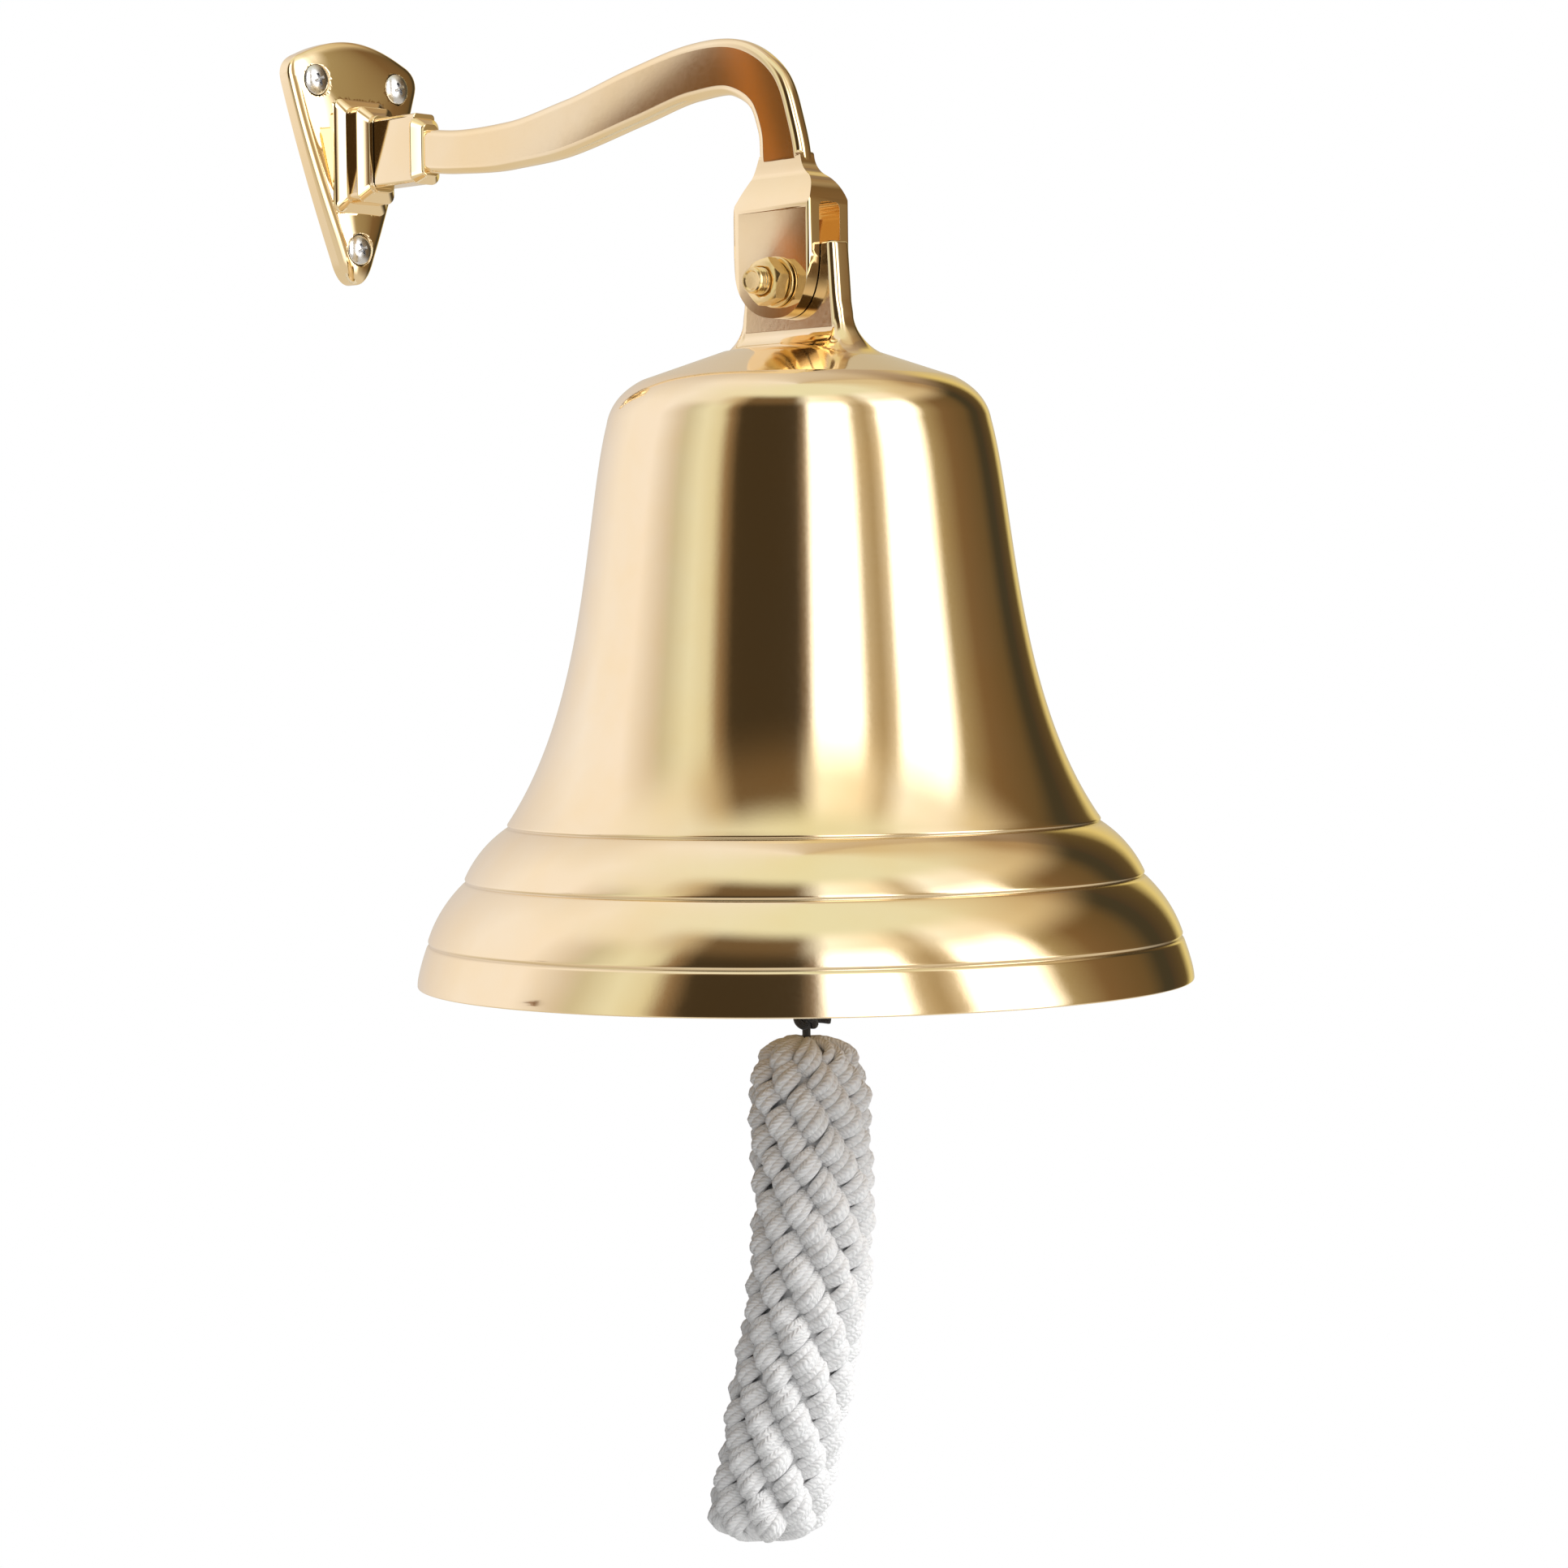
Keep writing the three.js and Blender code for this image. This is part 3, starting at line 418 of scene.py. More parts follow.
def cord_material():
    material, nodes, where = new_material("black_cord")
    along = nodes.new("ShaderNodeAttribute", attribute_name="along").outputs["Fac"]
    across = nodes.new("ShaderNodeAttribute", attribute_name="across").outputs["Fac"]
    left = nodes.math("SINE", nodes.math("MULTIPLY", nodes.math("ADD", along, across), 12 * math.pi))
    right = nodes.math("SINE", nodes.math("MULTIPLY", nodes.math("SUBTRACT", along, across), 12 * math.pi))
    plait = nodes.math("MAXIMUM", left, right)
    # Painted shade: the plait's valleys are coloured darker than its raised crowns
    tone = nodes.mix(nodes.map_range(plait, -0.5, 1.0), (0.004, 0.004, 0.004, 1), (0.022, 0.022, 0.024, 1))
    fuzz = nodes.noise(where, 1500.0, 2.0)
    height = nodes.math("ADD", plait, fuzz)
    bump = nodes.new("ShaderNodeBump", {"Height": height, "Strength": 0.5, "Distance": 0.0002})
    shader = nodes.new("ShaderNodeBsdfPrincipled", {
        "Base Color": tone, "Roughness": 0.6, "Sheen Weight": 0.2, "Normal": bump})
    finish_material(nodes, shader)
    return material


POLISHED = brass_material("polished_brass", (0.94, 0.78, 0.53), 0.045, grain=0.15)
BELL_BRASS = brass_material("bell_brass", (0.94, 0.79, 0.56), 0.085, grain=0.5)
INNER_BRASS = brass_material("turned_inside", (0.80, 0.60, 0.32), 0.34, streaks=3.0, grain=2.0)
TURNED = brass_material("turned_brass", (0.88, 0.68, 0.36), 0.2, streaks=1.0)
SCREW_STEEL = steel_material("bright_steel", (0.80, 0.81, 0.83), 0.22)
CLAPPER_STEEL = steel_material("machined_steel", (0.60, 0.60, 0.60), 0.32)
COTTON = cotton_material()
CORD = cord_material()

# ---- curves in the plane


def bezier(points, count):
    """Points along the Bezier curve that these points steer."""
    run = []
    for step in range(count + 1):
        t = step / count
        row = [Vector(p) for p in points]
        while len(row) > 1:
            row = [a.lerp(b, t) for a, b in zip(row, row[1:])]
        run.append(row[0])
    return run


def trim(run, distance):
    """The run without its last stretch of that length."""
    run = list(run)
    left = distance
    while len(run) > 2 and (run[-1] - run[-2]).length <= left:
        left -= (run[-1] - run[-2]).length
        run.pop()
    step = run[-1] - run[-2]
    run[-1] = run[-1] - step * min(0.9, left / step.length)
    return run


def outline(runs, corner=0.5, closed=False):
    """Runs of points joined end to start, with each sharp corner between two runs rounded off."""
    runs = [[Vector(p) for p in run] for run in runs]
    pairs = list(zip(runs, runs[1:])) + ([(runs[-1], runs[0])] if closed else [])
    joints = []
    for before, after in pairs:
        turn = (before[-1] - before[-2]).angle(after[1] - after[0], 0)
        joints.append(before[-1].copy() if turn > math.radians(9) else None)
    trimmed = []
    count = len(runs)
    for index, run in enumerate(runs):
        ends_round = joints[index] if index < len(joints) else None
        starts_round = joints[index - 1] if index > 0 or closed else None
        length = sum((b - a).length for a, b in zip(run, run[1:]))
        cut = min(corner, length * 0.3)
        if ends_round:
            run = trim(run, cut)
        if starts_round:
            run = trim(run[::-1], cut)[::-1]
        trimmed.append(run)
    points = []
    for index, run in enumerate(trimmed):
        if index and not joints[index - 1]:
            run = run[1:]
        points += run
        corner_point = joints[index] if index < len(joints) else None
        if corner_point:
            after = trimmed[(index + 1) % count]
            points += bezier([run[-1], corner_point, after[0]], 5)[1:-1]
    if closed and not joints[-1]:
        points.pop()
    return points


def straight(*points, closed=False):
    """Straight runs from each point to the next, and back to the first if closed."""
    ends = points[1:] + points[:1] if closed else points[1:]
    return [list(pair) for pair in zip(points, ends)]


def ring_profile(inner, outer, low, high, corner):
    """A flat ring's outline as (radius, height) points, its corners rounded."""
    sides = straight((inner, low), (outer, low), (outer, high), (inner, high), closed=True)
    return outline(sides, corner, closed=True)


# ---- meshes


def make_object(name, bm, material, origin=(0, 0, 0), sharp=32):
    """A smooth-shaded object from a mesh in millimetres about that origin."""
    bmesh.ops.transform(bm, matrix=Matrix.Translation(Vector(origin)), verts=bm.verts)
    bmesh.ops.scale(bm, vec=(MM, MM, MM), verts=bm.verts)
    data = bpy.data.meshes.new(name)
    bm.to_mesh(data)
    bm.free()
    piece = bpy.data.objects.new(name, data)
    bpy.context.scene.collection.objects.link(piece)
    data.shade_smooth()
    crease(piece, sharp)
    data.materials.append(material)
    return piece


def crease(piece, degrees):
    """Shades every edge that turns more than that as a sharp one."""
    piece.data.set_sharp_from_angle(angle=math.radians(degrees))


def place(piece, body, slot, *nodes):
    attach(piece, body)
    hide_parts(*nodes)
    return piece


def join_rows(bm, rows):
    """Faces between neighbouring rows of vertices, each row a closed ring."""
    count = len(rows[0])
    for low, high in zip(rows, rows[1:]):
        for i in range(count):
            j = (i + 1) % count
            bm.faces.new((low[i], low[j], high[j], high[i]))


def skin(rings):
    """A closed mesh through rings of points, capped at both ends."""
    bm = bmesh.new()
    rows = [[bm.verts.new(p) for p in ring] for ring in rings]
    join_rows(bm, rows)
    bm.faces.new(rows[0][::-1])
    bm.faces.new(rows[-1])
    bmesh.ops.recalc_face_normals(bm, faces=bm.faces)
    return bm


def lathe(points, sides=64):
    """A turned mesh from (radius, height) points that start and end on the axis, or close on themselves."""
    bm = bmesh.new()
    on_axis = abs(points[0][0]) < 1e-6
    rows = []
    for radius, height in points[1:-1] if on_axis else points:
        angles = [2 * math.pi * i / sides for i in range(sides)]
        rows.append([bm.verts.new((radius * math.cos(a), radius * math.sin(a), height)) for a in angles])
    join_rows(bm, rows if on_axis else rows + rows[:1])
    if on_axis:
        for ring, height in ((rows[0], points[0][1]), (rows[-1], points[-1][1])):
            tip = bm.verts.new((0, 0, height))
            for i in range(sides):
                bm.faces.new((tip, ring[i], ring[(i + 1) % sides]))
    bmesh.ops.recalc_face_normals(bm, faces=bm.faces)
    return bm


def turn_mesh(bm, axis, degrees):
    matrix = Matrix.Rotation(math.radians(degrees), 4, axis)
    bmesh.ops.transform(bm, matrix=matrix, verts=bm.verts)
    return bm


def prism(points, low, high, across="Y"):
    """A slab with that outline: (x, z) points raised along Y, or (y, z) points raised along X."""
    rings = []
    for depth in (low, high):
        rings.append([(p[0], depth, p[1]) if across == "Y" else (depth, p[0], p[1]) for p in points])
    return skin(rings)


def combine(piece, other, operation):
    """Joins or cuts piece by other, which is used up."""
    modifier = piece.modifiers.new("combine", "BOOLEAN")
    modifier.operation = operation
    modifier.solver = "EXACT"
    modifier.object = other
    settle(piece)
    data = other.data
    bpy.data.objects.remove(other)
    bpy.data.meshes.remove(data)
    return piece


def drill(piece, hole, along, place, sides=40):
    """Cuts a hole, turned from (radius, distance) points, out of the piece along X or Y."""
    cutter = turn_mesh(lathe(hole, sides), "X" if along == "Y" else "Y", 90)
    return combine(piece, make_object("hole", cutter, TURNED, place), "DIFFERENCE")


def straight_bore(radius, start, end):
    return [(0, start), (radius, start), (radius, end), (0, end)]


def move_mesh(piece, place=(0, 0, 0), axis="Z", degrees=0):
    """Turns the piece's mesh about the frame's origin, then moves it by millimetres."""
    turn = Matrix.Rotation(math.radians(degrees), 4, axis)
    piece.data.transform(Matrix.Translation(Vector(place) * MM) @ turn)
    return piece


def settle(piece):
    """Applies every modifier."""
    bpy.context.view_layer.update()
    graph = bpy.context.evaluated_depsgraph_get()
    data = bpy.data.meshes.new_from_object(piece.evaluated_get(graph))
    old = piece.data
    piece.modifiers.clear()
    piece.data = data
    bpy.data.meshes.remove(old)
    return piece


def soften(piece, width, segments=3, angle=32):
    """Rounds the sharp edges off."""
    modifier = piece.modifiers.new("soften", "BEVEL")
    modifier.width = width * MM
    modifier.segments = segments
    modifier.limit_method = "ANGLE"
    modifier.angle_limit = math.radians(angle)
    modifier.harden_normals = True
    modifier.use_clamp_overlap = True
    return settle(piece)


def firm_normals(piece, angle=40):
    """Keeps broad faces shading as flat as they are, beside their rounded edges."""
    crease(piece, angle)
    modifier = piece.modifiers.new("firm", "WEIGHTED_NORMAL")
    modifier.mode = "FACE_AREA"
    modifier.weight = 100
    modifier.keep_sharp = True
    return settle(piece)


def grime(piece, amount):
    """Writes the mesh attribute "grime" from a function of the vertex's place in millimetres."""
    layer = piece.data.attributes.new("grime", "FLOAT", "POINT")
    layer.data.foreach_set("value", [amount(v.co / MM) for v in piece.data.vertices])
    return piece


def rounded_rectangle(width, height, radius, centre=(0, 0), arc=6):
    """Points counter-clockwise round a rectangle with round corners."""
    points = []
    half_width, half_height = width / 2 - radius, height / 2 - radius
    for quarter, (sx, sy) in enumerate(((1, 1), (-1, 1), (-1, -1), (1, -1))):
        for step in range(arc + 1):
            angle = math.pi / 2 * (quarter + step / arc)
            points.append(Vector((
                centre[0] + sx * half_width + radius * math.cos(angle),
                centre[1] + sy * half_height + radius * math.sin(angle))))
    return points


# ---- bell

CROWN_TOP = 165.5
RINGS = [(98.4, 11), (89, 27), (78, 41)]
RING_GROOVE = 0.55
GROOVE_TARNISH = 0.3
BOSS_BORE = 8
BOSS_RADIUS = 12
BOSS_BOTTOM = 149
BOSS_BORE_TOP = 158
LUG_THICKNESS = 7.2
LUG_FILLET = 5.0
CROWN_PROFILE = [(50, 145), (48.8, 152.2), (41, 156.2), (20, 163.4), (10, CROWN_TOP), (0, CROWN_TOP)]


def crown_runs():
    shoulder, knee, rim, slope, middle, top = CROWN_PROFILE
    return [bezier([shoulder, knee, rim], 12), bezier([rim, slope], 6), bezier([slope, middle, top], 8)]


def crown_height(radius):
    """Height of the crown's outer face at that distance from the axis."""
    points = [p for run in crown_runs()[::-1] for p in run[::-1]]
    points.sort(key=lambda p: p[0])
    for inner, outer in zip(points, points[1:]):
        if inner[0] <= radius <= outer[0] and outer[0] > inner[0]:
            t = (radius - inner[0]) / (outer[0] - inner[0])
            return inner[1] + (outer[1] - inner[1]) * t
    return points[-1][1]


def bell_profile():
    """The bell's section as (radius, height) points: up the inside, round the lip, up the outside."""
    (r1, z1), (r2, z2), (r3, z3) = RINGS
    throat = (BOSS_RADIUS + 1, 157.6)
    waist = (r3 - 6.4, z3)
    lip = MOUTH_RADIUS - 0.3
    inside = [
        [(BOSS_BORE, BOSS_BORE_TOP), (BOSS_BORE, BOSS_BOTTOM)],
        [(BOSS_BORE, BOSS_BOTTOM), (BOSS_RADIUS, BOSS_BOTTOM)],
        bezier([(BOSS_RADIUS, BOSS_BOTTOM), throat], 2),
        bezier([throat, (26, 155.6), (36, 152)], 8),
        bezier([(36, 152), (44.2, 149), (45, 142)], 10),
        bezier([(45, 142), (51.6, 120), (50.5, 74), waist], 30),
        bezier([waist, (86, 26), (89.5, 16)], 12),
        bezier([(89.5, 16), (93, 7), (96.4, 0)], 8),
        [(96.4, 0), (lip, 0)],
    ]
    # Above each ring's edge the wall dips into a groove and comes out again a little further in
    first = [(r1 + 0.1, z1 - 0.6), (r1 - RING_GROOVE, z1), (r1 - 0.2, z1 + 0.9)]
    second = [(r2, z2 - 0.6), (r2 - RING_GROOVE - 0.3, z2), (r2 - 0.5, z2 + 0.8)]
    third = [(r3, z3 - 0.6), (r3 - RING_GROOVE - 0.4, z3), (r3 - 0.7, z3 + 0.7)]
    outside = [
        bezier([(lip, 0), (MOUTH_RADIUS, 2.4), first[0]], 14), *straight(*first),
        bezier([first[-1], (95.6, 20), second[0]], 18), *straight(*second),
        bezier([second[-1], (85, 35.5), third[0]], 18), *straight(*third),
        bezier([third[-1], (55.6, 73.2), (56.1, 121.5), (50, 145)], 60),
    ]
    points = outline(inside + outside + crown_runs(), corner=0.32)
    return [Vector((0, BOSS_BORE_TOP))] + points[:-1] + [Vector((0, CROWN_TOP))]


def lug_half_length(height):
    """Half of the lug's length along X at that height above the bolt."""
    return 16.5 - 0.07 * height


def lug_section(half_length, half_thickness, radius):
    return rounded_rectangle(2 * half_length, 2 * half_thickness, radius, arc=7)


def make_lug():
    """The lug's skin: a straight tapered stretch that flares onto the crown with a round fillet."""
    half = LUG_THICKNESS / 2
    edge = 2.2
    base = lug_section(lug_half_length(-13), half, edge)
    rings = []
    for step in range(13):
        angle = math.pi / 2 * step / 12
        out = LUG_FILLET * (1 - math.sin(angle))
        rise = LUG_FILLET * (1 - math.cos(angle))
        ring = []
        for i, point in enumerate(base):
            before, after = base[i - 1], base[(i + 1) % len(base)]
            side = (after - before).normalized()
            flare = 1.0 + 0.9 * abs(side.y)
            moved = point + Vector((side.y, -side.x)) * out * flare
            sunk = -0.05 if step == 0 else 0.0
            ring.append((moved.x, moved.y, crown_height(moved.length) + rise * flare + sunk))
        rings.append(ring)
    top_of_fillet = max(p[2] for p in rings[-1]) - BOLT_ABOVE_MOUTH
    for step in range(1, 9):
        height = top_of_fillet + (9.2 - top_of_fillet) * step / 8
        section = lug_section(lug_half_length(height), half, edge)
        rings.append([(p.x, p.y, height + BOLT_ABOVE_MOUTH) for p in section])
    for step in range(1, 5):
        angle = math.pi / 2 * step / 4
        inset = 0.8 * (1 - math.cos(angle))
        section = lug_section(lug_half_length(9.6) - inset, half - inset, edge - inset)
        height = 9.2 + 0.8 * math.sin(angle)
        rings.append([(p.x, p.y, height + BOLT_ABOVE_MOUTH) for p in section])
    return skin(rings)


def bell_grime(co):
    """Tarnish in the turned grooves."""
    height = co.z - MOUTH.z
    radius = math.hypot(co.x - MOUTH.x, co.y)
    for ring_radius, ring_height in RINGS:
        if ring_radius - 2 < radius < ring_radius - 0.3 and abs(height - ring_height) < 0.5:
            return GROOVE_TARNISH
    return 0.0


def make_bell():
    bell = make_object("bell_body", lathe(bell_profile(), 224), BELL_BRASS, MOUTH)
    bell.data.materials.append(INNER_BRASS)
    # The inside and the crown's underside are left as turned
    for face in bell.data.polygons:
        centre = face.center / MM - MOUTH
        radius = math.hypot(centre.x, centre.y)
        outward = centre.x * face.normal.x + centre.y * face.normal.y
        inside = outward < 0 or (centre.z < CROWN_TOP - 7 and radius < 42 and centre.z > 60)
        under = centre.z > 100 and face.normal.z < -0.1
        if (inside and centre.z > 0.5 and not (face.normal.z > 0.3 and outward > 0)) or under:
            face.material_index = 1
    grime(bell, bell_grime)
    lug = make_object("bell_lug", make_lug(), BELL_BRASS, MOUTH, sharp=45)
    drill(lug, straight_bore(3.8, -20, 20), "Y", PIVOT)
    firm_normals(lug, 45)
    place(bell, "bell_body", "polished_brass", "bell")
    place(lug, "bell_body", "polished_brass", "bell")
    bush = lathe(ring_profile(3.4, 7.6, 149.4, 153.2, 0.3), 48)
    bush = make_object("swivel_bush_ring", bush, TURNED, MOUTH)
    place(bush, "bell_body", "turned_brass", "swivel_bush")


make_bell()

# ---- wall plate

PLATE_HALF_HEIGHT = node_size("wall_plate").z / 2
PLATE_HALF_WIDTH = node_size("wall_plate").y / 2
PLATE_THICKNESS = 6.5
PLATE_EDGE = 3.2                     # upright part of the plate's edge, below its domed face
PLATE_RIDGE = (-20.0, 14.0)          # lowest and highest point of the ridge down its middle
BOSS_Z = 1.6
BOSS_END = 16.9
# The boss, as sections (out from the wall, half width, half height): a pad and a step, both chamfered
BOSS_SECTIONS = [
    (1.0, 9.6, 16.4), (6.2, 9.6, 16.4), (6.9, 9.35, 16.15), (8.5, 7.05, 13.85), (8.9, 6.95, 13.75),
    (12.9, 6.95, 13.75), (13.2, 6.85, 13.65), (13.35, 6.55, 13.35), (15.2, 4.3, 11.1),
    (15.6, 4.2, 11.0), (BOSS_END - 0.2, 4.2, 11.0), (BOSS_END, 4.0, 10.8),
]
WALL_SCREWS = ["wall_screw_left", "wall_screw_right", "wall_screw_lower"]
WALL_SCREW_SEAT = 5.6
WALL_SCREW_RADIUS = 4.4
ARM_SCREW_OFFSET = 6.3


def shield():
    """The plate's outline as (y, z) points, counter-clockwise from the foot, the same on both sides."""
    width, height = PLATE_HALF_WIDTH, PLATE_HALF_HEIGHT
    right = [
        bezier([(0, -height), (4, -height), (6.4, -28)], 10),
        bezier([(6.4, -28), (17.5, 0), (width, 23)], 26),
        bezier([(width, 23), (width + 0.8, 28), (19, 30.2)], 8),
        bezier([(19, 30.2), (9, height), (0, height)], 14),
    ]
    half = outline(right, corner=1.2)
    left = [Vector((-p.x, p.y)) for p in half[1:-1]][::-1]
    return half + left


def domed_plate():
    """A cushion-faced casting: its face rises from the edge to a ridge down the plate's middle."""
    edge = shield()
    ridge_low, ridge_high = PLATE_RIDGE
    rings = [[(height, p.x, p.y) for p in edge] for height in (0.0, PLATE_EDGE * 0.5)]
    steps = 30
    for step in range(steps + 1):
        t = 0.985 * (step / steps) ** 2.2
        height = PLATE_EDGE + (PLATE_THICKNESS - PLATE_EDGE) * math.sqrt(1 - (1 - t) ** 2.6)
        ring = []
        for p in edge:
            q = p.lerp(Vector((0, min(max(p.y, ridge_low), ridge_high))), t)
            ring.append((height, q.x, q.y))
        rings.append(ring)
    return skin(rings)


def sections_along_x(name, sections, centre_z, radius, arc=8):
    """A solid through rounded rectangles given as (x, half width, half height)."""
    rings = []
    for x, half_width, half_height in sections:
        corner = min(radius, half_width * 0.6)
        ring = rounded_rectangle(2 * half_width, 2 * half_height, corner, (0, centre_z), arc)
        rings.append([(x, p.x, p.y) for p in ring])
    return make_object(name, skin(rings), POLISHED, sharp=60)


def make_plate():
    plate = make_object("shield_plate", domed_plate(), POLISHED)
    combine(plate, sections_along_x("boss", BOSS_SECTIONS, BOSS_Z, 2.6), "UNION")
    for name in WALL_SCREWS:
        centre = node_centre(name)
        seat, radius = WALL_SCREW_SEAT, WALL_SCREW_RADIUS + 0.3
        sink = [(0, -2), (2.7, -2), (2.7, seat - 2.4), (radius, seat), (radius + 0.2, seat + 4),
                (0, seat + 4)]
        drill(plate, sink, "X", (0, centre.y, centre.z))
    sink = [(0, -2), (3.7, -2), (3.7, 0.6), (2.4, 2.6), (2.3, 19), (0, 19)]
    for side in (-1, 1):
        drill(plate, sink, "X", (0, 0, BOSS_Z + side * ARM_SCREW_OFFSET), 32)
    firm_normals(soften(plate, 0.25, 2, 40))
    place(plate, "bracket", "polished_brass", "wall_plate")


def cross_cutter(depth, reach, half):
    """A cross recess that narrows towards its bottom, for cutting into a screw's head."""
    rings = []
    for height, length, width in ((-depth, reach * 0.4, half * 0.6), (1.5, reach * 1.3, half * 1.1)):
        corners = []
        for quarter in range(4):
            turn = Matrix.Rotation(math.pi / 2 * quarter, 2)
            for x, y in ((width, width), (width, length), (-width, length)):
                corner = turn @ Vector((x, y))
                corners.append((corner.x, corner.y, height))
        rings.append(corners)
    return make_object("cross", skin(rings), SCREW_STEEL)


def make_wall_screws():
    radius, seat = WALL_SCREW_RADIUS, WALL_SCREW_SEAT
    for name in WALL_SCREWS:
        centre = node_centre(name)
        shank = straight((0, 0.3), (2.4, 0.3), (2.4, seat - 2.2), (radius, seat - 0.1))
        dome = bezier([(radius, seat - 0.1), (radius * 0.72, seat + 1.4), (0, seat + 1.5)], 16)
        profile = outline(shank + [dome], corner=0.25)
        screw = make_object(name + "_body", lathe(profile, 48), SCREW_STEEL)
        cutter = move_mesh(cross_cutter(1.3, 2.4, 0.55), (0, 0, seat + 1.4), "Z", 25)
        combine(screw, cutter, "DIFFERENCE")
        crease(screw, 35)
        move_mesh(screw, (0, centre.y, centre.z), "Y", 90)
        place(screw, "bracket", "steel_screws", name)


def make_arm_screws():
    for name, side in (("arm_fixing_screw_upper", 1), ("arm_fixing_screw_lower", -1)):
        place_of_screw = (0, 0, BOSS_Z + side * ARM_SCREW_OFFSET)
        profile = outline(straight((0, 0.6), (3.3, 0.6), (3.3, 0.9), (2.0, 2.4), (2.0, 28.1), (1.5, 28.6),
                                   (0, 28.6)), corner=0.2)
        bm = turn_mesh(lathe(profile, 32), "Y", 90)
        screw = make_object(name + "_body", bm, SCREW_STEEL, place_of_screw)
        slot = prism([(-4, -0.5), (4, -0.5), (4, 0.5), (-4, 0.5)], -1, 1.5, "X")
        combine(screw, make_object("slot", slot, SCREW_STEEL, place_of_screw), "DIFFERENCE")
        place(screw, "bracket", "steel_screws", name)


make_plate()
make_wall_screws()
make_arm_screws()

# ---- bracket arm

BLOCK_SECTIONS = [
    (17.2, 3.8, 9.6), (17.4, 4.0, 9.8), (34.4, 4.0, 9.8), (34.6, 3.8, 9.6),
]
COLLAR_SECTIONS = [
    (33.6, 4.9, 9.3), (34.1, 5.35, 9.35), (34.4, 5.45, 9.3), (34.7, 5.35, 9.2), (36.5, 3.05, 7.7),
    (36.8, 2.9, 7.5), (37.4, 2.8, 7.1),
]
ARM_THICKNESS = 5.4
HEAD_THICKNESS = 15.6
SLOT_WIDTH = 7.8
SLOT_TOP = 20.4
ARM_ROUTE = [
    (-143, 47.6), (-130, 46.2), (-108, 45.9), (-84, 48.6), (-58, 54.2),
    (-36, 58.3), (-20, 57.8), (-9.5, 51.5), (-5.2, 42), (-3.6, 33), (-3.2, 25),
]
ARM_DEPTHS = [12.2, 12.2, 13.2, 15.2, 15.8, 15.2, 14.6, 14.2, 14, 15.4, 17]


def smooth_through(points, steps):
    """A smooth curve through the points, as (place, direction, t) with t running over the points."""
    points = [Vector(p) for p in points]
    ghost = [points[0] * 2 - points[1]] + points + [points[-1] * 2 - points[-2]]
    run = []
    total = len(points) - 1
    for step in range(steps + 1):
        t = total * step / steps
        i = min(int(t), total - 1)
        a, b, c, d = ghost[i:i + 4]
        first, middle, last = [(q - p).length ** 0.5 for p, q in ((a, b), (b, c), (c, d))]
        leave = ((b - a) / first - (c - a) / (first + middle) + (c - b) / middle) * middle
        arrive = ((c - b) / middle - (d - b) / (middle + last) + (d - c) / last) * middle
        u = t - i
        square = 3 * (c - b) - 2 * leave - arrive
        cube = 2 * (b - c) + leave + arrive
        point = b + leave * u + square * u ** 2 + cube * u ** 3
        direction = (leave + 2 * square * u + 3 * cube * u ** 2).normalized()
        run.append((point, direction, t))
    return run


def with_firm_sides(points, distance=0.3):
    """The outline with extra points just inside the ends of its long straight sides."""
    firm = []
    for here, ahead in zip(points, points[1:] + points[:1]):
        firm.append(here)
        length = (ahead - here).length
        if length > 4 * distance:
            firm.append(here.lerp(ahead, distance / length))
            firm.append(ahead.lerp(here, distance / length))
    return firm


def gooseneck():
    """The arm's swept bar, deeper over its hump."""
    rings = []
    for point, along, t in smooth_through(ARM_ROUTE, 150):
        i = min(int(t), len(ARM_DEPTHS) - 2)
        ease = t - i
        ease = ease * ease * (3 - 2 * ease)
        depth = ARM_DEPTHS[i] + (ARM_DEPTHS[i + 1] - ARM_DEPTHS[i]) * ease
        across = Vector((-along.y, along.x))
        ring = []
        for q in with_firm_sides(rounded_rectangle(ARM_THICKNESS, depth, 2.1, arc=6)):
            place_on_arm = point + across * q.y
            ring.append((place_on_arm.x, q.x, place_on_arm.y))
        rings.append(ring)
    return skin(rings)


def head_profile():
    """The fork head seen from the side, as (x, z) points from the bolt."""
    return outline([
        bezier([(-10.4, 34), (-11.8, 30), (-14.6, 22)], 8),
        bezier([(-14.6, 22), (-17.6, 16), (-17.2, 12)], 10),
        [(-17.2, 12), (-15.2, 2)],
        bezier([(-15.2, 2), (-12, -9.2), (0, -9.2)], 16),
        bezier([(0, -9.2), (11, -9.2), (11.6, 8)], 16),
        [(11.6, 8), (11.6, 20)],
        bezier([(11.6, 20), (11, 26), (7, 28)], 8),
        bezier([(7, 28), (4, 30), (4, 34)], 8),
        [(4, 34), (-10.4, 34)],
    ], corner=1.0, closed=True)


def gable():
    """The head seen end-on, as (y, z) points: upright cheeks under a roof that runs up into the neck."""
    half, neck = HEAD_THICKNESS / 2, ARM_THICKNESS / 2 - 0.05
    right = straight((0, -15), (half, -15), (half, 19)) + [
        bezier([(half, 19), (half - 0.4, 22), (neck + 1.2, 27.2)], 10),
        bezier([(neck + 1.2, 27.2), (neck, 28.4), (neck, 34)], 8),
        [(neck, 34), (0, 34)],
    ]
    half_outline = outline(right, corner=0.6)
    return half_outline[:-1] + [Vector((-p.x, p.y)) for p in half_outline[1:]][::-1]


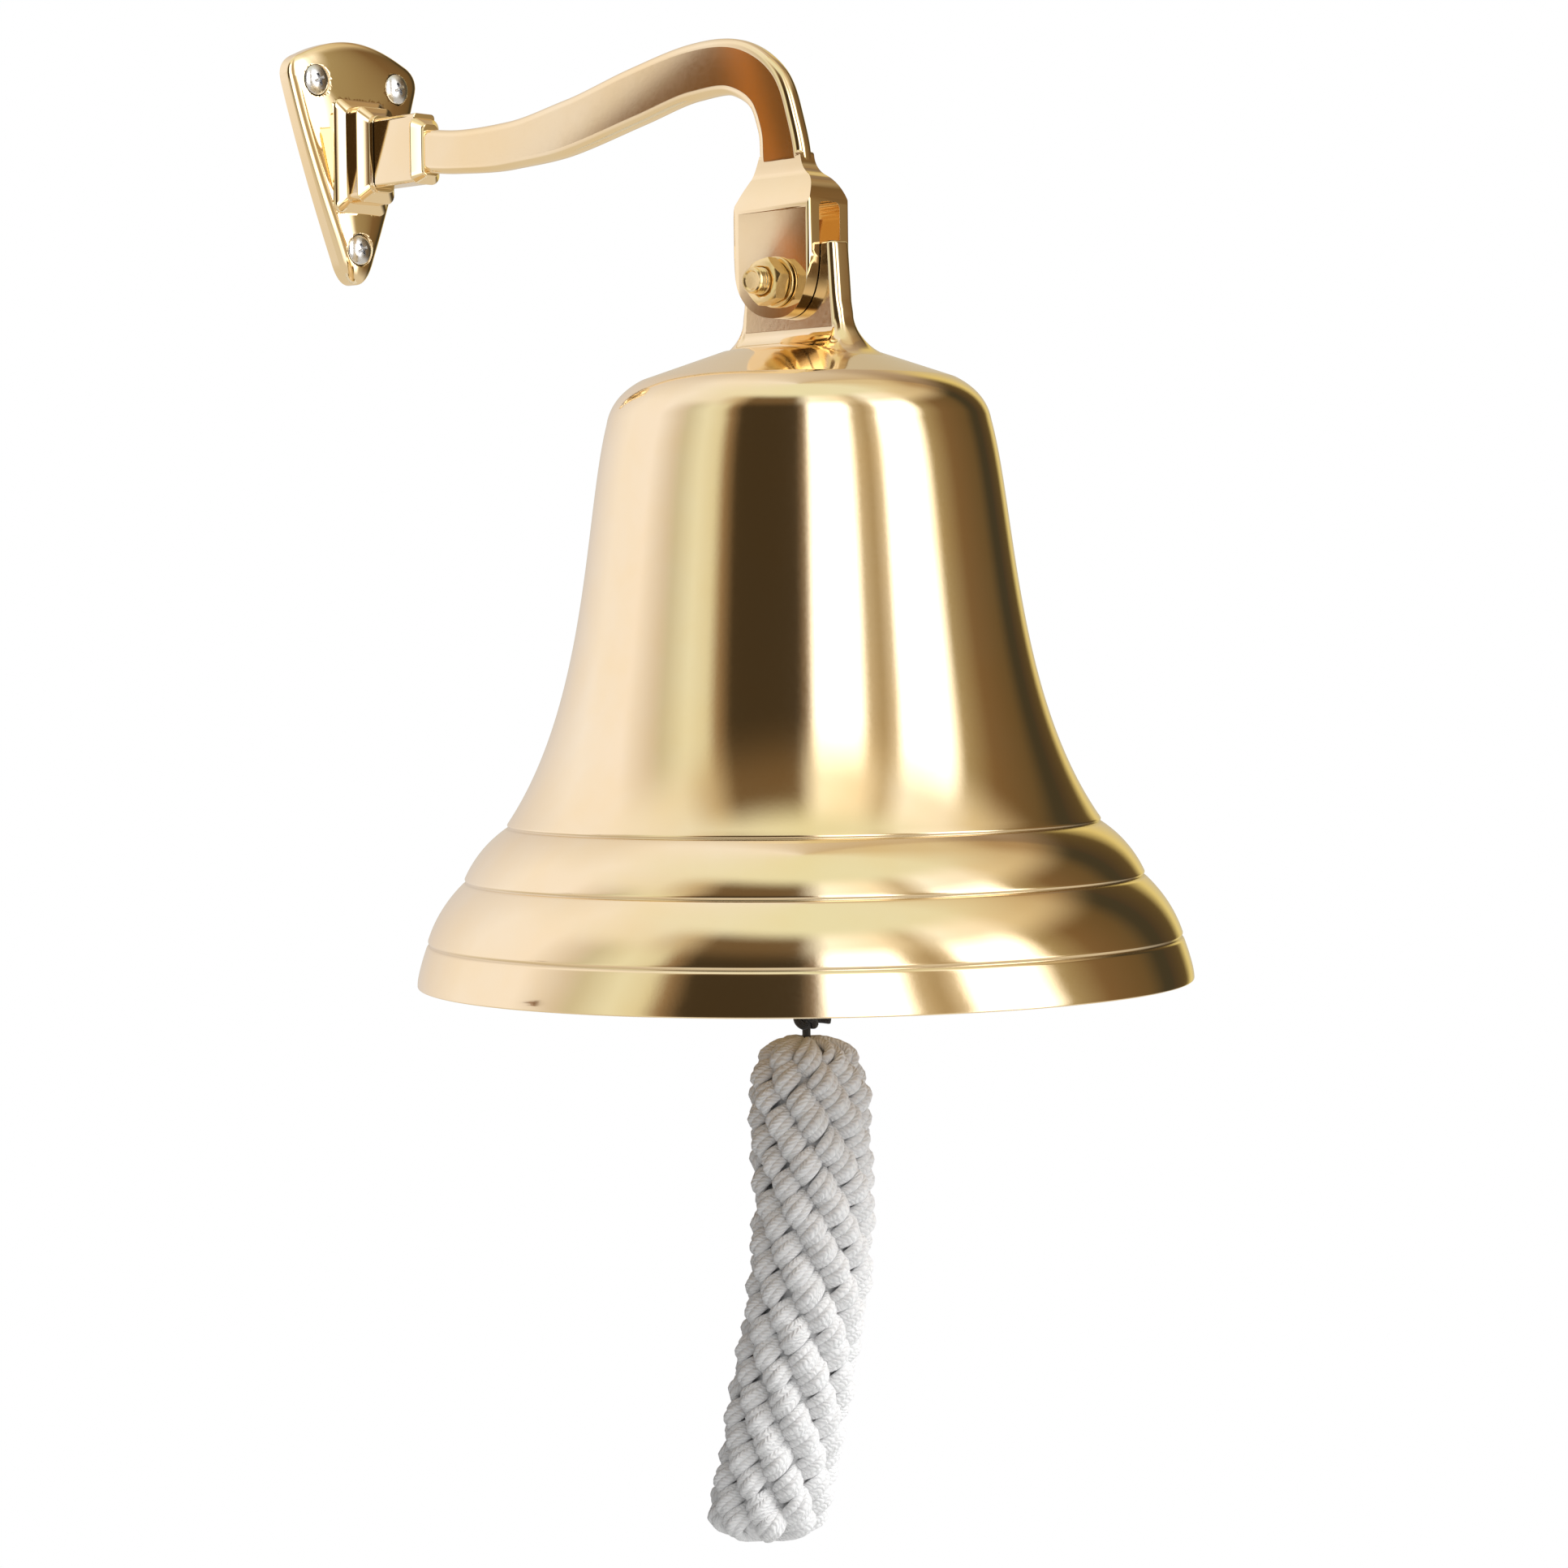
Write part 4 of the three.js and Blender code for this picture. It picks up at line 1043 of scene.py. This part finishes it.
def head_plan():
    """The head seen from above, as (x, y) points: broadly rounded on the wall side."""
    half = HEAD_THICKNESS / 2
    wall, front, round_wall, round_front = -17.6, 11.6, 4.2, 1.2
    corners = [(front, half, round_front), (wall, half, round_wall),
               (wall, -half, round_wall), (front, -half, round_front)]
    points = []
    for quarter, (x, y, radius) in enumerate(corners):
        cx, cy = x - math.copysign(radius, x), y - math.copysign(radius, y)
        for step in range(9):
            angle = math.pi / 2 * (quarter + step / 8)
            points.append(Vector((cx + radius * math.cos(angle), cy + radius * math.sin(angle))))
    return points


def make_arm():
    head = make_object("head", prism(head_profile(), -HEAD_THICKNESS, HEAD_THICKNESS), POLISHED, PIVOT)
    roof = make_object("roof", prism(gable(), -30, 30, across="X"), POLISHED, PIVOT)
    combine(head, roof, "INTERSECT")
    plan = skin([[(p.x, p.y, height) for p in head_plan()] for height in (-20, 40)])
    combine(head, make_object("plan", plan, POLISHED, PIVOT), "INTERSECT")
    slot = rounded_rectangle(SLOT_WIDTH, 40, 1.8, (0, SLOT_TOP - 20), arc=5)
    combine(head, make_object("slot", prism(slot, -30, 30, across="X"), POLISHED, PIVOT), "DIFFERENCE")
    soften(head, 0.7, 3, 35)
    arm = make_object("bracket_gooseneck", gooseneck(), POLISHED, PIVOT)
    combine(arm, head, "UNION")
    drill(arm, straight_bore(3.75, -20, 20), "Y", PIVOT)
    foot = sections_along_x("foot", BLOCK_SECTIONS, BOSS_Z, 1.2)
    combine(foot, sections_along_x("collar", COLLAR_SECTIONS, BOSS_Z - 0.8, 2.8), "UNION")
    combine(arm, foot, "UNION")
    for side in (-1, 1):
        drill(arm, straight_bore(2.3, 15, 30), "X", (0, 0, BOSS_Z + side * ARM_SCREW_OFFSET), 24)
    firm_normals(arm)
    place(arm, "bracket", "polished_brass", "bracket_arm")


make_arm()

# ---- fork bolt

BOLT_RADIUS = 3.5
NUT_SEAT = HEAD_THICKNESS / 2 + 1.4
NUT_THICKNESS = 4.6
NUT_FLATS = 11
BOLT_END = 17.5


def hexagon_prism(flats, thickness, dome):
    """A nut's blank along Z from 0: six flats, chamfered by a turned cone at each end."""
    corner = flats / math.sqrt(3)
    hexagon = [(corner * math.cos(math.pi / 3 * i), corner * math.sin(math.pi / 3 * i)) for i in range(6)]
    blank = make_object("hexagon", skin([[(x, y, z) for x, y in hexagon] for z in (0, thickness)]), TURNED)
    profile = [(0, -0.1), (flats / 2 - 0.2, -0.1), (corner + 0.05, 0.7), (corner + 0.05, thickness - dome),
               (flats / 2 + 0.1, thickness - dome * 0.35), (flats / 2 - 0.9, thickness + 0.05),
               (0, thickness + 0.05)]
    cone = make_object("cone", lathe(profile, 64), TURNED)
    combine(blank, cone, "INTERSECT")
    return soften(blank, 0.22, 3, 25)


def lay_along_bolt(piece, degrees, y):
    """Turns a piece made along Z to lie along the bolt, that far from the bolt's middle."""
    return move_mesh(piece, PIVOT + Vector((0, y, 0)), "X", degrees)


def threaded(radius, start, end, pitch=0.9, depth=0.28):
    """Profile points of a threaded stretch, as turned rings."""
    points = []
    count = round((end - start) / pitch)
    for i in range(count):
        low = start + (end - start) * i / count
        step = (end - start) / count
        points += [(radius - depth, low + 0.1 * step), (radius, low + 0.4 * step),
                   (radius, low + 0.6 * step), (radius - depth, low + 0.9 * step)]
    return points


def make_bolt():
    nut_end = NUT_SEAT + NUT_THICKNESS
    thread = threaded(BOLT_RADIUS - 0.05, nut_end + 0.1, BOLT_END - 0.9)
    profile = [(0, -NUT_SEAT - 1), (BOLT_RADIUS, -NUT_SEAT - 1), (BOLT_RADIUS, nut_end)] + thread + [
        (BOLT_RADIUS - 0.05, BOLT_END - 0.8), (BOLT_RADIUS - 0.15, BOLT_END - 0.35),
        (BOLT_RADIUS - 0.5, BOLT_END), (BOLT_RADIUS - 0.9, BOLT_END - 0.02),
        (BOLT_RADIUS - 1.3, BOLT_END - 0.35), (0, BOLT_END - 0.45)]
    shank = lay_along_bolt(make_object("bolt_shank", lathe(profile, 56), TURNED), 90, 0)
    head = lay_along_bolt(hexagon_prism(NUT_FLATS, NUT_THICKNESS, 1.0), -90, NUT_SEAT)
    combine(shank, head, "UNION")
    shank.name = "fork_bolt"
    place(shank, "bracket", "turned_brass", "pivot_bolt")

    nut = hexagon_prism(NUT_FLATS, NUT_THICKNESS, 1.0)
    move_mesh(nut, axis="Z", degrees=14)
    bore = make_object("bore", lathe(straight_bore(3.72, -1, 9), 40), TURNED)
    combine(nut, bore, "DIFFERENCE")
    lay_along_bolt(nut, 90, -NUT_SEAT)
    nut.name = "fork_nut"
    place(nut, "bracket", "turned_brass", "pivot_nut")

    for name, y in (("pivot_washer_front", -NUT_SEAT + 0.3), ("pivot_washer_rear", NUT_SEAT - 0.3 - 0.8)):
        washer = make_object(name + "_ring", lathe(ring_profile(3.75, 6.6, 0, 0.8, 0.25), 56), TURNED)
        lay_along_bolt(washer, -90, y)
        place(washer, "bracket", "turned_brass", name)


make_bolt()

# ---- clapper

CLEVIS_PIN_Z = 137
ROD_RADIUS = 3.6
BALL_RADIUS = node_size("clapper_ball").x / 2
BALL_Z = node_centre("clapper_ball").z - MOUTH.z


def slab(points, thickness, edge):
    piece = make_object("slab", prism(points, -thickness / 2, thickness / 2), TURNED, MOUTH)
    return soften(piece, edge, 3, 40)


def arc(centre, radius, start, end, steps=16):
    points = []
    for i in range(steps + 1):
        angle = math.radians(start + (end - start) * i / steps)
        points.append(Vector((centre[0] + radius * math.cos(angle), centre[1] + radius * math.sin(angle))))
    return points


def cross_hole(piece, radius, z):
    return drill(piece, straight_bore(radius, -12, 12), "Y", MOUTH + Vector((0, 0, z)), 32)


def make_swivel():
    flange = BOSS_BOTTOM + 4.3
    profile = [(0, 147), (3, 147), (3, flange), (6.1, flange), (6.4, flange + 0.3), (6.4, flange + 2.3),
               (6.1, flange + 2.6), (0, flange + 2.6)]
    stem = make_object("swivel_clevis", lathe(profile, 40), CLAPPER_STEEL, MOUTH)
    clevis = slab(arc((0, CLEVIS_PIN_Z), 5, 180, 360) + [
        Vector((5, 146.5)), Vector((3.5, 148.5)), Vector((-3.5, 148.5)), Vector((-5, 146.5))], 12, 0.6)
    gap = rounded_rectangle(5.6, 30, 1.6, (0, 144 - 15), arc=4)
    combine(clevis, make_object("gap", prism(gap, -9, 9, across="X"), CLAPPER_STEEL, MOUTH), "DIFFERENCE")
    combine(stem, clevis, "UNION")
    cross_hole(stem, 2.3, CLEVIS_PIN_Z)
    crease(stem, 32)
    stem.data.materials.clear()
    stem.data.materials.append(CLAPPER_STEEL)
    place(stem, "swivel", "clapper_steel", "clapper_swivel")
    pin = lathe([(0, -7.5), (2.2, -7.4), (3.0, -6.9), (3.3, -6.3), (2, -6.3), (2, 6.3), (3.3, 6.3),
                 (3.0, 6.9), (2.2, 7.4), (0, 7.5)], 36)
    pin_centre = MOUTH + Vector((0, 0, CLEVIS_PIN_Z))
    pin = make_object("swivel_pin", turn_mesh(pin, "X", 90), CLAPPER_STEEL, pin_centre)
    place(pin, "swivel", "clapper_steel", "clapper_pin")


def make_clapper():
    eye = arc((0, CLEVIS_PIN_Z), 5.2, -45, 225, 28) + [
        Vector((-ROD_RADIUS, CLEVIS_PIN_Z - 9)), Vector((-ROD_RADIUS, CLEVIS_PIN_Z - 13)),
        Vector((ROD_RADIUS, CLEVIS_PIN_Z - 13)), Vector((ROD_RADIUS, CLEVIS_PIN_Z - 9))]
    rod = slab(eye, 5.0, 0.5)
    foot = BALL_Z + 2
    shank = make_object("shank", lathe([
        (0, foot), (ROD_RADIUS, foot), (ROD_RADIUS, CLEVIS_PIN_Z - 11), (0, CLEVIS_PIN_Z - 8.5)], 40),
        TURNED, MOUTH)
    combine(rod, shank, "UNION")
    cross_hole(rod, 2.3, CLEVIS_PIN_Z)
    crease(rod, 32)
    rod.name = "clapper_shank"
    place(rod, "clapper", "turned_brass", "clapper_rod")

    bore = ROD_RADIUS + 0.3
    start = math.degrees(math.asin(bore / BALL_RADIUS))
    globe = arc((0, BALL_Z), BALL_RADIUS, -90 + start, 90 - start, 60)
    ball = make_object("clapper_globe", lathe(globe, 96), TURNED, MOUTH)
    place(ball, "clapper", "turned_brass", "clapper_ball")

    z, outer = -2.4, 3.6
    tail = make_object("clapper_eye", lathe([
        (0, z + 2.6), (2.4, z + 2.6), (2.6, z + 3.4), (ROD_RADIUS, z + 4.4), (ROD_RADIUS, foot - 0.6),
        (0, foot - 0.6)], 40), TURNED, MOUTH)
    combine(tail, slab(arc((0, z), outer, 0, 348, 30), 2.6, 0.6), "UNION")
    cross_hole(tail, 1.8, z)
    crease(tail, 40)
    place(tail, "clapper", "turned_brass", "clapper_tail")


make_swivel()
make_clapper()

# ---- cord and yarn


def tube(bm, route, radius, sides, start=0.0):
    """A round tube along points, with the attributes "along" and "across" for its yarns."""
    along_layer = bm.verts.layers.float.get("along") or bm.verts.layers.float.new("along")
    across_layer = bm.verts.layers.float.get("across") or bm.verts.layers.float.new("across")
    route = [Vector(p) for p in route]
    radii = radius if isinstance(radius, list) else [radius] * len(route)
    normal = (route[1] - route[0]).orthogonal().normalized()
    distance = start
    rows = []
    last = len(route) - 1
    for i, point in enumerate(route):
        ahead = (route[min(i + 1, last)] - route[max(i - 1, 0)]).normalized()
        normal = (normal - ahead * normal.dot(ahead)).normalized()
        side = ahead.cross(normal)
        if i:
            distance += (point - route[i - 1]).length
        row = []
        for j in range(sides):
            angle = 2 * math.pi * j / sides
            vertex = bm.verts.new(point + (normal * math.cos(angle) + side * math.sin(angle)) * radii[i])
            vertex[along_layer] = distance * 0.1
            vertex[across_layer] = abs(2 * j / sides - 1)
            row.append(vertex)
        rows.append(row)
    join_rows(bm, rows)
    bm.faces.new(rows[0][::-1])
    bm.faces.new(rows[-1])


def cord_route(points, steps):
    """A smooth route through points in space."""
    return [point for point, _, _ in smooth_through(points, steps)]


# ---- lashing

CORD_RADIUS = 1.05
KNOT_CORD_RADIUS = 0.98             # squeezed a little in the knot
KNOT_Z = -10.4


def make_cord(name, bm, node):
    place(make_object(name, bm, CORD, MOUTH, sharp=80), "lashing", "black_cord", node)


def knot_points():
    """An overhand knot, pulled tight."""
    points = []
    for i in range(25):
        t = 2 * math.pi * (i / 24 * 0.93 + 0.02)
        swell = 1.75 - 0.75 * math.cos(3 * t)
        height = KNOT_Z - 0.1 + 1.6 * math.sin(3 * t)
        points.append((swell * math.cos(2 * t), swell * math.sin(2 * t), height))
    return points


def make_lashing():
    """The loop through the clapper's eye, the loop through the handle's eye, and the knot between them."""
    side = 2.4
    half = [(0, 1.0, KNOT_Z + 1.2), (0, side, KNOT_Z + 3.2), (0, side - 0.3, -4.0), (0, 1.3, -2.9)]
    upper = half + [(0, 0, -2.6)] + [(-x, -y, z) for x, y, z in half[::-1]]
    side, eye = 0.8, -22.2
    half = [(side, -side, KNOT_Z + 0.5), (side, -side, KNOT_Z - 3.5), (side, -side, eye + 5.5),
            (1.9, -0.4, eye + 1.8)]
    lower = half + [(0, 0, eye)] + [(-x, -y, z) for x, y, z in half[::-1]]
    for name, points, steps, node in (("cord_through_clapper", upper, 48, "lashing_upper_loop"),
                                      ("cord_through_handle", lower, 60, "lashing_lower_loop")):
        bm = bmesh.new()
        tube(bm, cord_route(points, steps), CORD_RADIUS, 14)
        make_cord(name, bm, node)
    bm = bmesh.new()
    tube(bm, cord_route(knot_points(), 120), KNOT_CORD_RADIUS, 14)
    loose_end = [(1.0, 0.6, KNOT_Z), (3.0, 2.6, KNOT_Z - 0.1), (5.0, 4.0, KNOT_Z - 0.4)]
    tube(bm, cord_route(loose_end, 10), [KNOT_CORD_RADIUS] * 10 + [0.8], 14)
    make_cord("cord_knot", bm, "lashing_knot")


make_lashing()

# ---- rope handle

HANDLE_RADIUS = 16.2
HANDLE_TOP = -16
HANDLE_BOTTOM = -147
HANDLE_DRIFT = 12.4
HANDLE_DRIFT_ANGLE = math.radians(43)
RIDGES = 8                           # rows of strands that wind down the handle
RIDGE_PITCH = 122                    # height of one full turn of a row
LOBES_PER_TURN = 22
YARNS = 3                            # yarns side by side in one lobe


def handle_centre(z):
    """The worn handle's middle at that height: it hangs off plumb towards its foot."""
    down = (HANDLE_TOP - z) / (HANDLE_TOP - HANDLE_BOTTOM)
    drift = -HANDLE_DRIFT * down ** 2 + 5.4 * math.sin(math.pi * down) ** 2 * (1 - down)
    return Vector((drift * math.cos(HANDLE_DRIFT_ANGLE), drift * math.sin(HANDLE_DRIFT_ANGLE), z))


def handle_radius(z):
    from_top = min(max((HANDLE_TOP - z) / 17, 0), 1)
    from_foot = min(max((z - HANDLE_BOTTOM) / 8, 0), 1)
    round_top = math.sqrt(1 - (1 - from_top) ** 2)
    round_foot = math.sqrt(1 - (1 - from_foot) ** 2)
    return 6.5 + (HANDLE_RADIUS - 6.5) * min(round_top, round_foot)


def on_handle(angle, z, sunk):
    """A point on the handle's skin, sunk below it by that much."""
    z = min(max(z, HANDLE_BOTTOM), HANDLE_TOP)
    centre = handle_centre(z)
    radius = max(handle_radius(z) - sunk, 0.5)
    return centre + Vector((math.cos(angle), math.sin(angle), 0)) * radius


def lobe(bm, angle, z, rng):
    """One visible turn of a strand: yarns side by side that rise out of the handle and dive back in."""
    reach = 5.3 + rng.uniform(-0.4, 0.4)
    lean = math.radians(50 + rng.uniform(-8, 8))
    along = Vector((math.cos(lean), math.sin(lean)))
    beside = Vector((math.sin(lean), -math.cos(lean)))
    yarn_radius = 1.5
    swell = rng.uniform(-0.4, 0.5)
    radius_here = max(handle_radius(z), 5)
    for yarn in range(YARNS):
        offset = (yarn - (YARNS - 1) / 2) * yarn_radius * 1.5
        crown = -0.75 * abs(yarn - (YARNS - 1) / 2)
        route, radii = [], []
        for step in range(9):
            s = step / 4 - 1
            twist = 0.5 * math.sin(s * 2.2 + yarn * 2.1)
            plane = along * (s * reach) + beside * (offset * (1 - 0.25 * s * s) + twist * 0.4)
            depth = 1.1 + 5.6 * abs(s) ** 2.1 - crown - swell
            route.append(on_handle(angle + plane.x / radius_here, z + plane.y, depth))
            radii.append(yarn_radius * (1 - 0.28 * abs(s) ** 2))
        tube(bm, route, radii, 9, start=rng.uniform(0, 50))


def make_handle():
    rng = random.Random(7)
    bm = bmesh.new()
    drop = RIDGE_PITCH / LOBES_PER_TURN
    count = int((HANDLE_TOP - HANDLE_BOTTOM + 10) / drop) + 2
    for ridge in range(RIDGES):
        for k in range(count):
            z = HANDLE_TOP - 3.5 - k * drop
            if z < HANDLE_BOTTOM + 3.0:
                continue
            angle = 2 * math.pi * (ridge / RIDGES + k / LOBES_PER_TURN)
            lobe(bm, angle + rng.uniform(-0.03, 0.03), z + rng.uniform(-0.5, 0.5), rng)
    braid = make_object("rope_braid", bm, COTTON, MOUTH, sharp=80)
    place(braid, "rope_handle", "white_cotton_rope", "handle_braid")

    steps, inset = 40, 0.8
    length = HANDLE_TOP - HANDLE_BOTTOM - 2 * inset
    rings = []
    for i in range(steps + 1):
        z = HANDLE_BOTTOM + inset + length * (0.5 - 0.5 * math.cos(math.pi * i / steps))
        rings.append([on_handle(2 * math.pi * j / 32, z, 5.2) for j in range(32)])
    core = make_object("rope_heart", skin(rings), COTTON, MOUTH, sharp=60)
    place(core, "rope_handle", "white_cotton_rope", "handle_core")


make_handle()
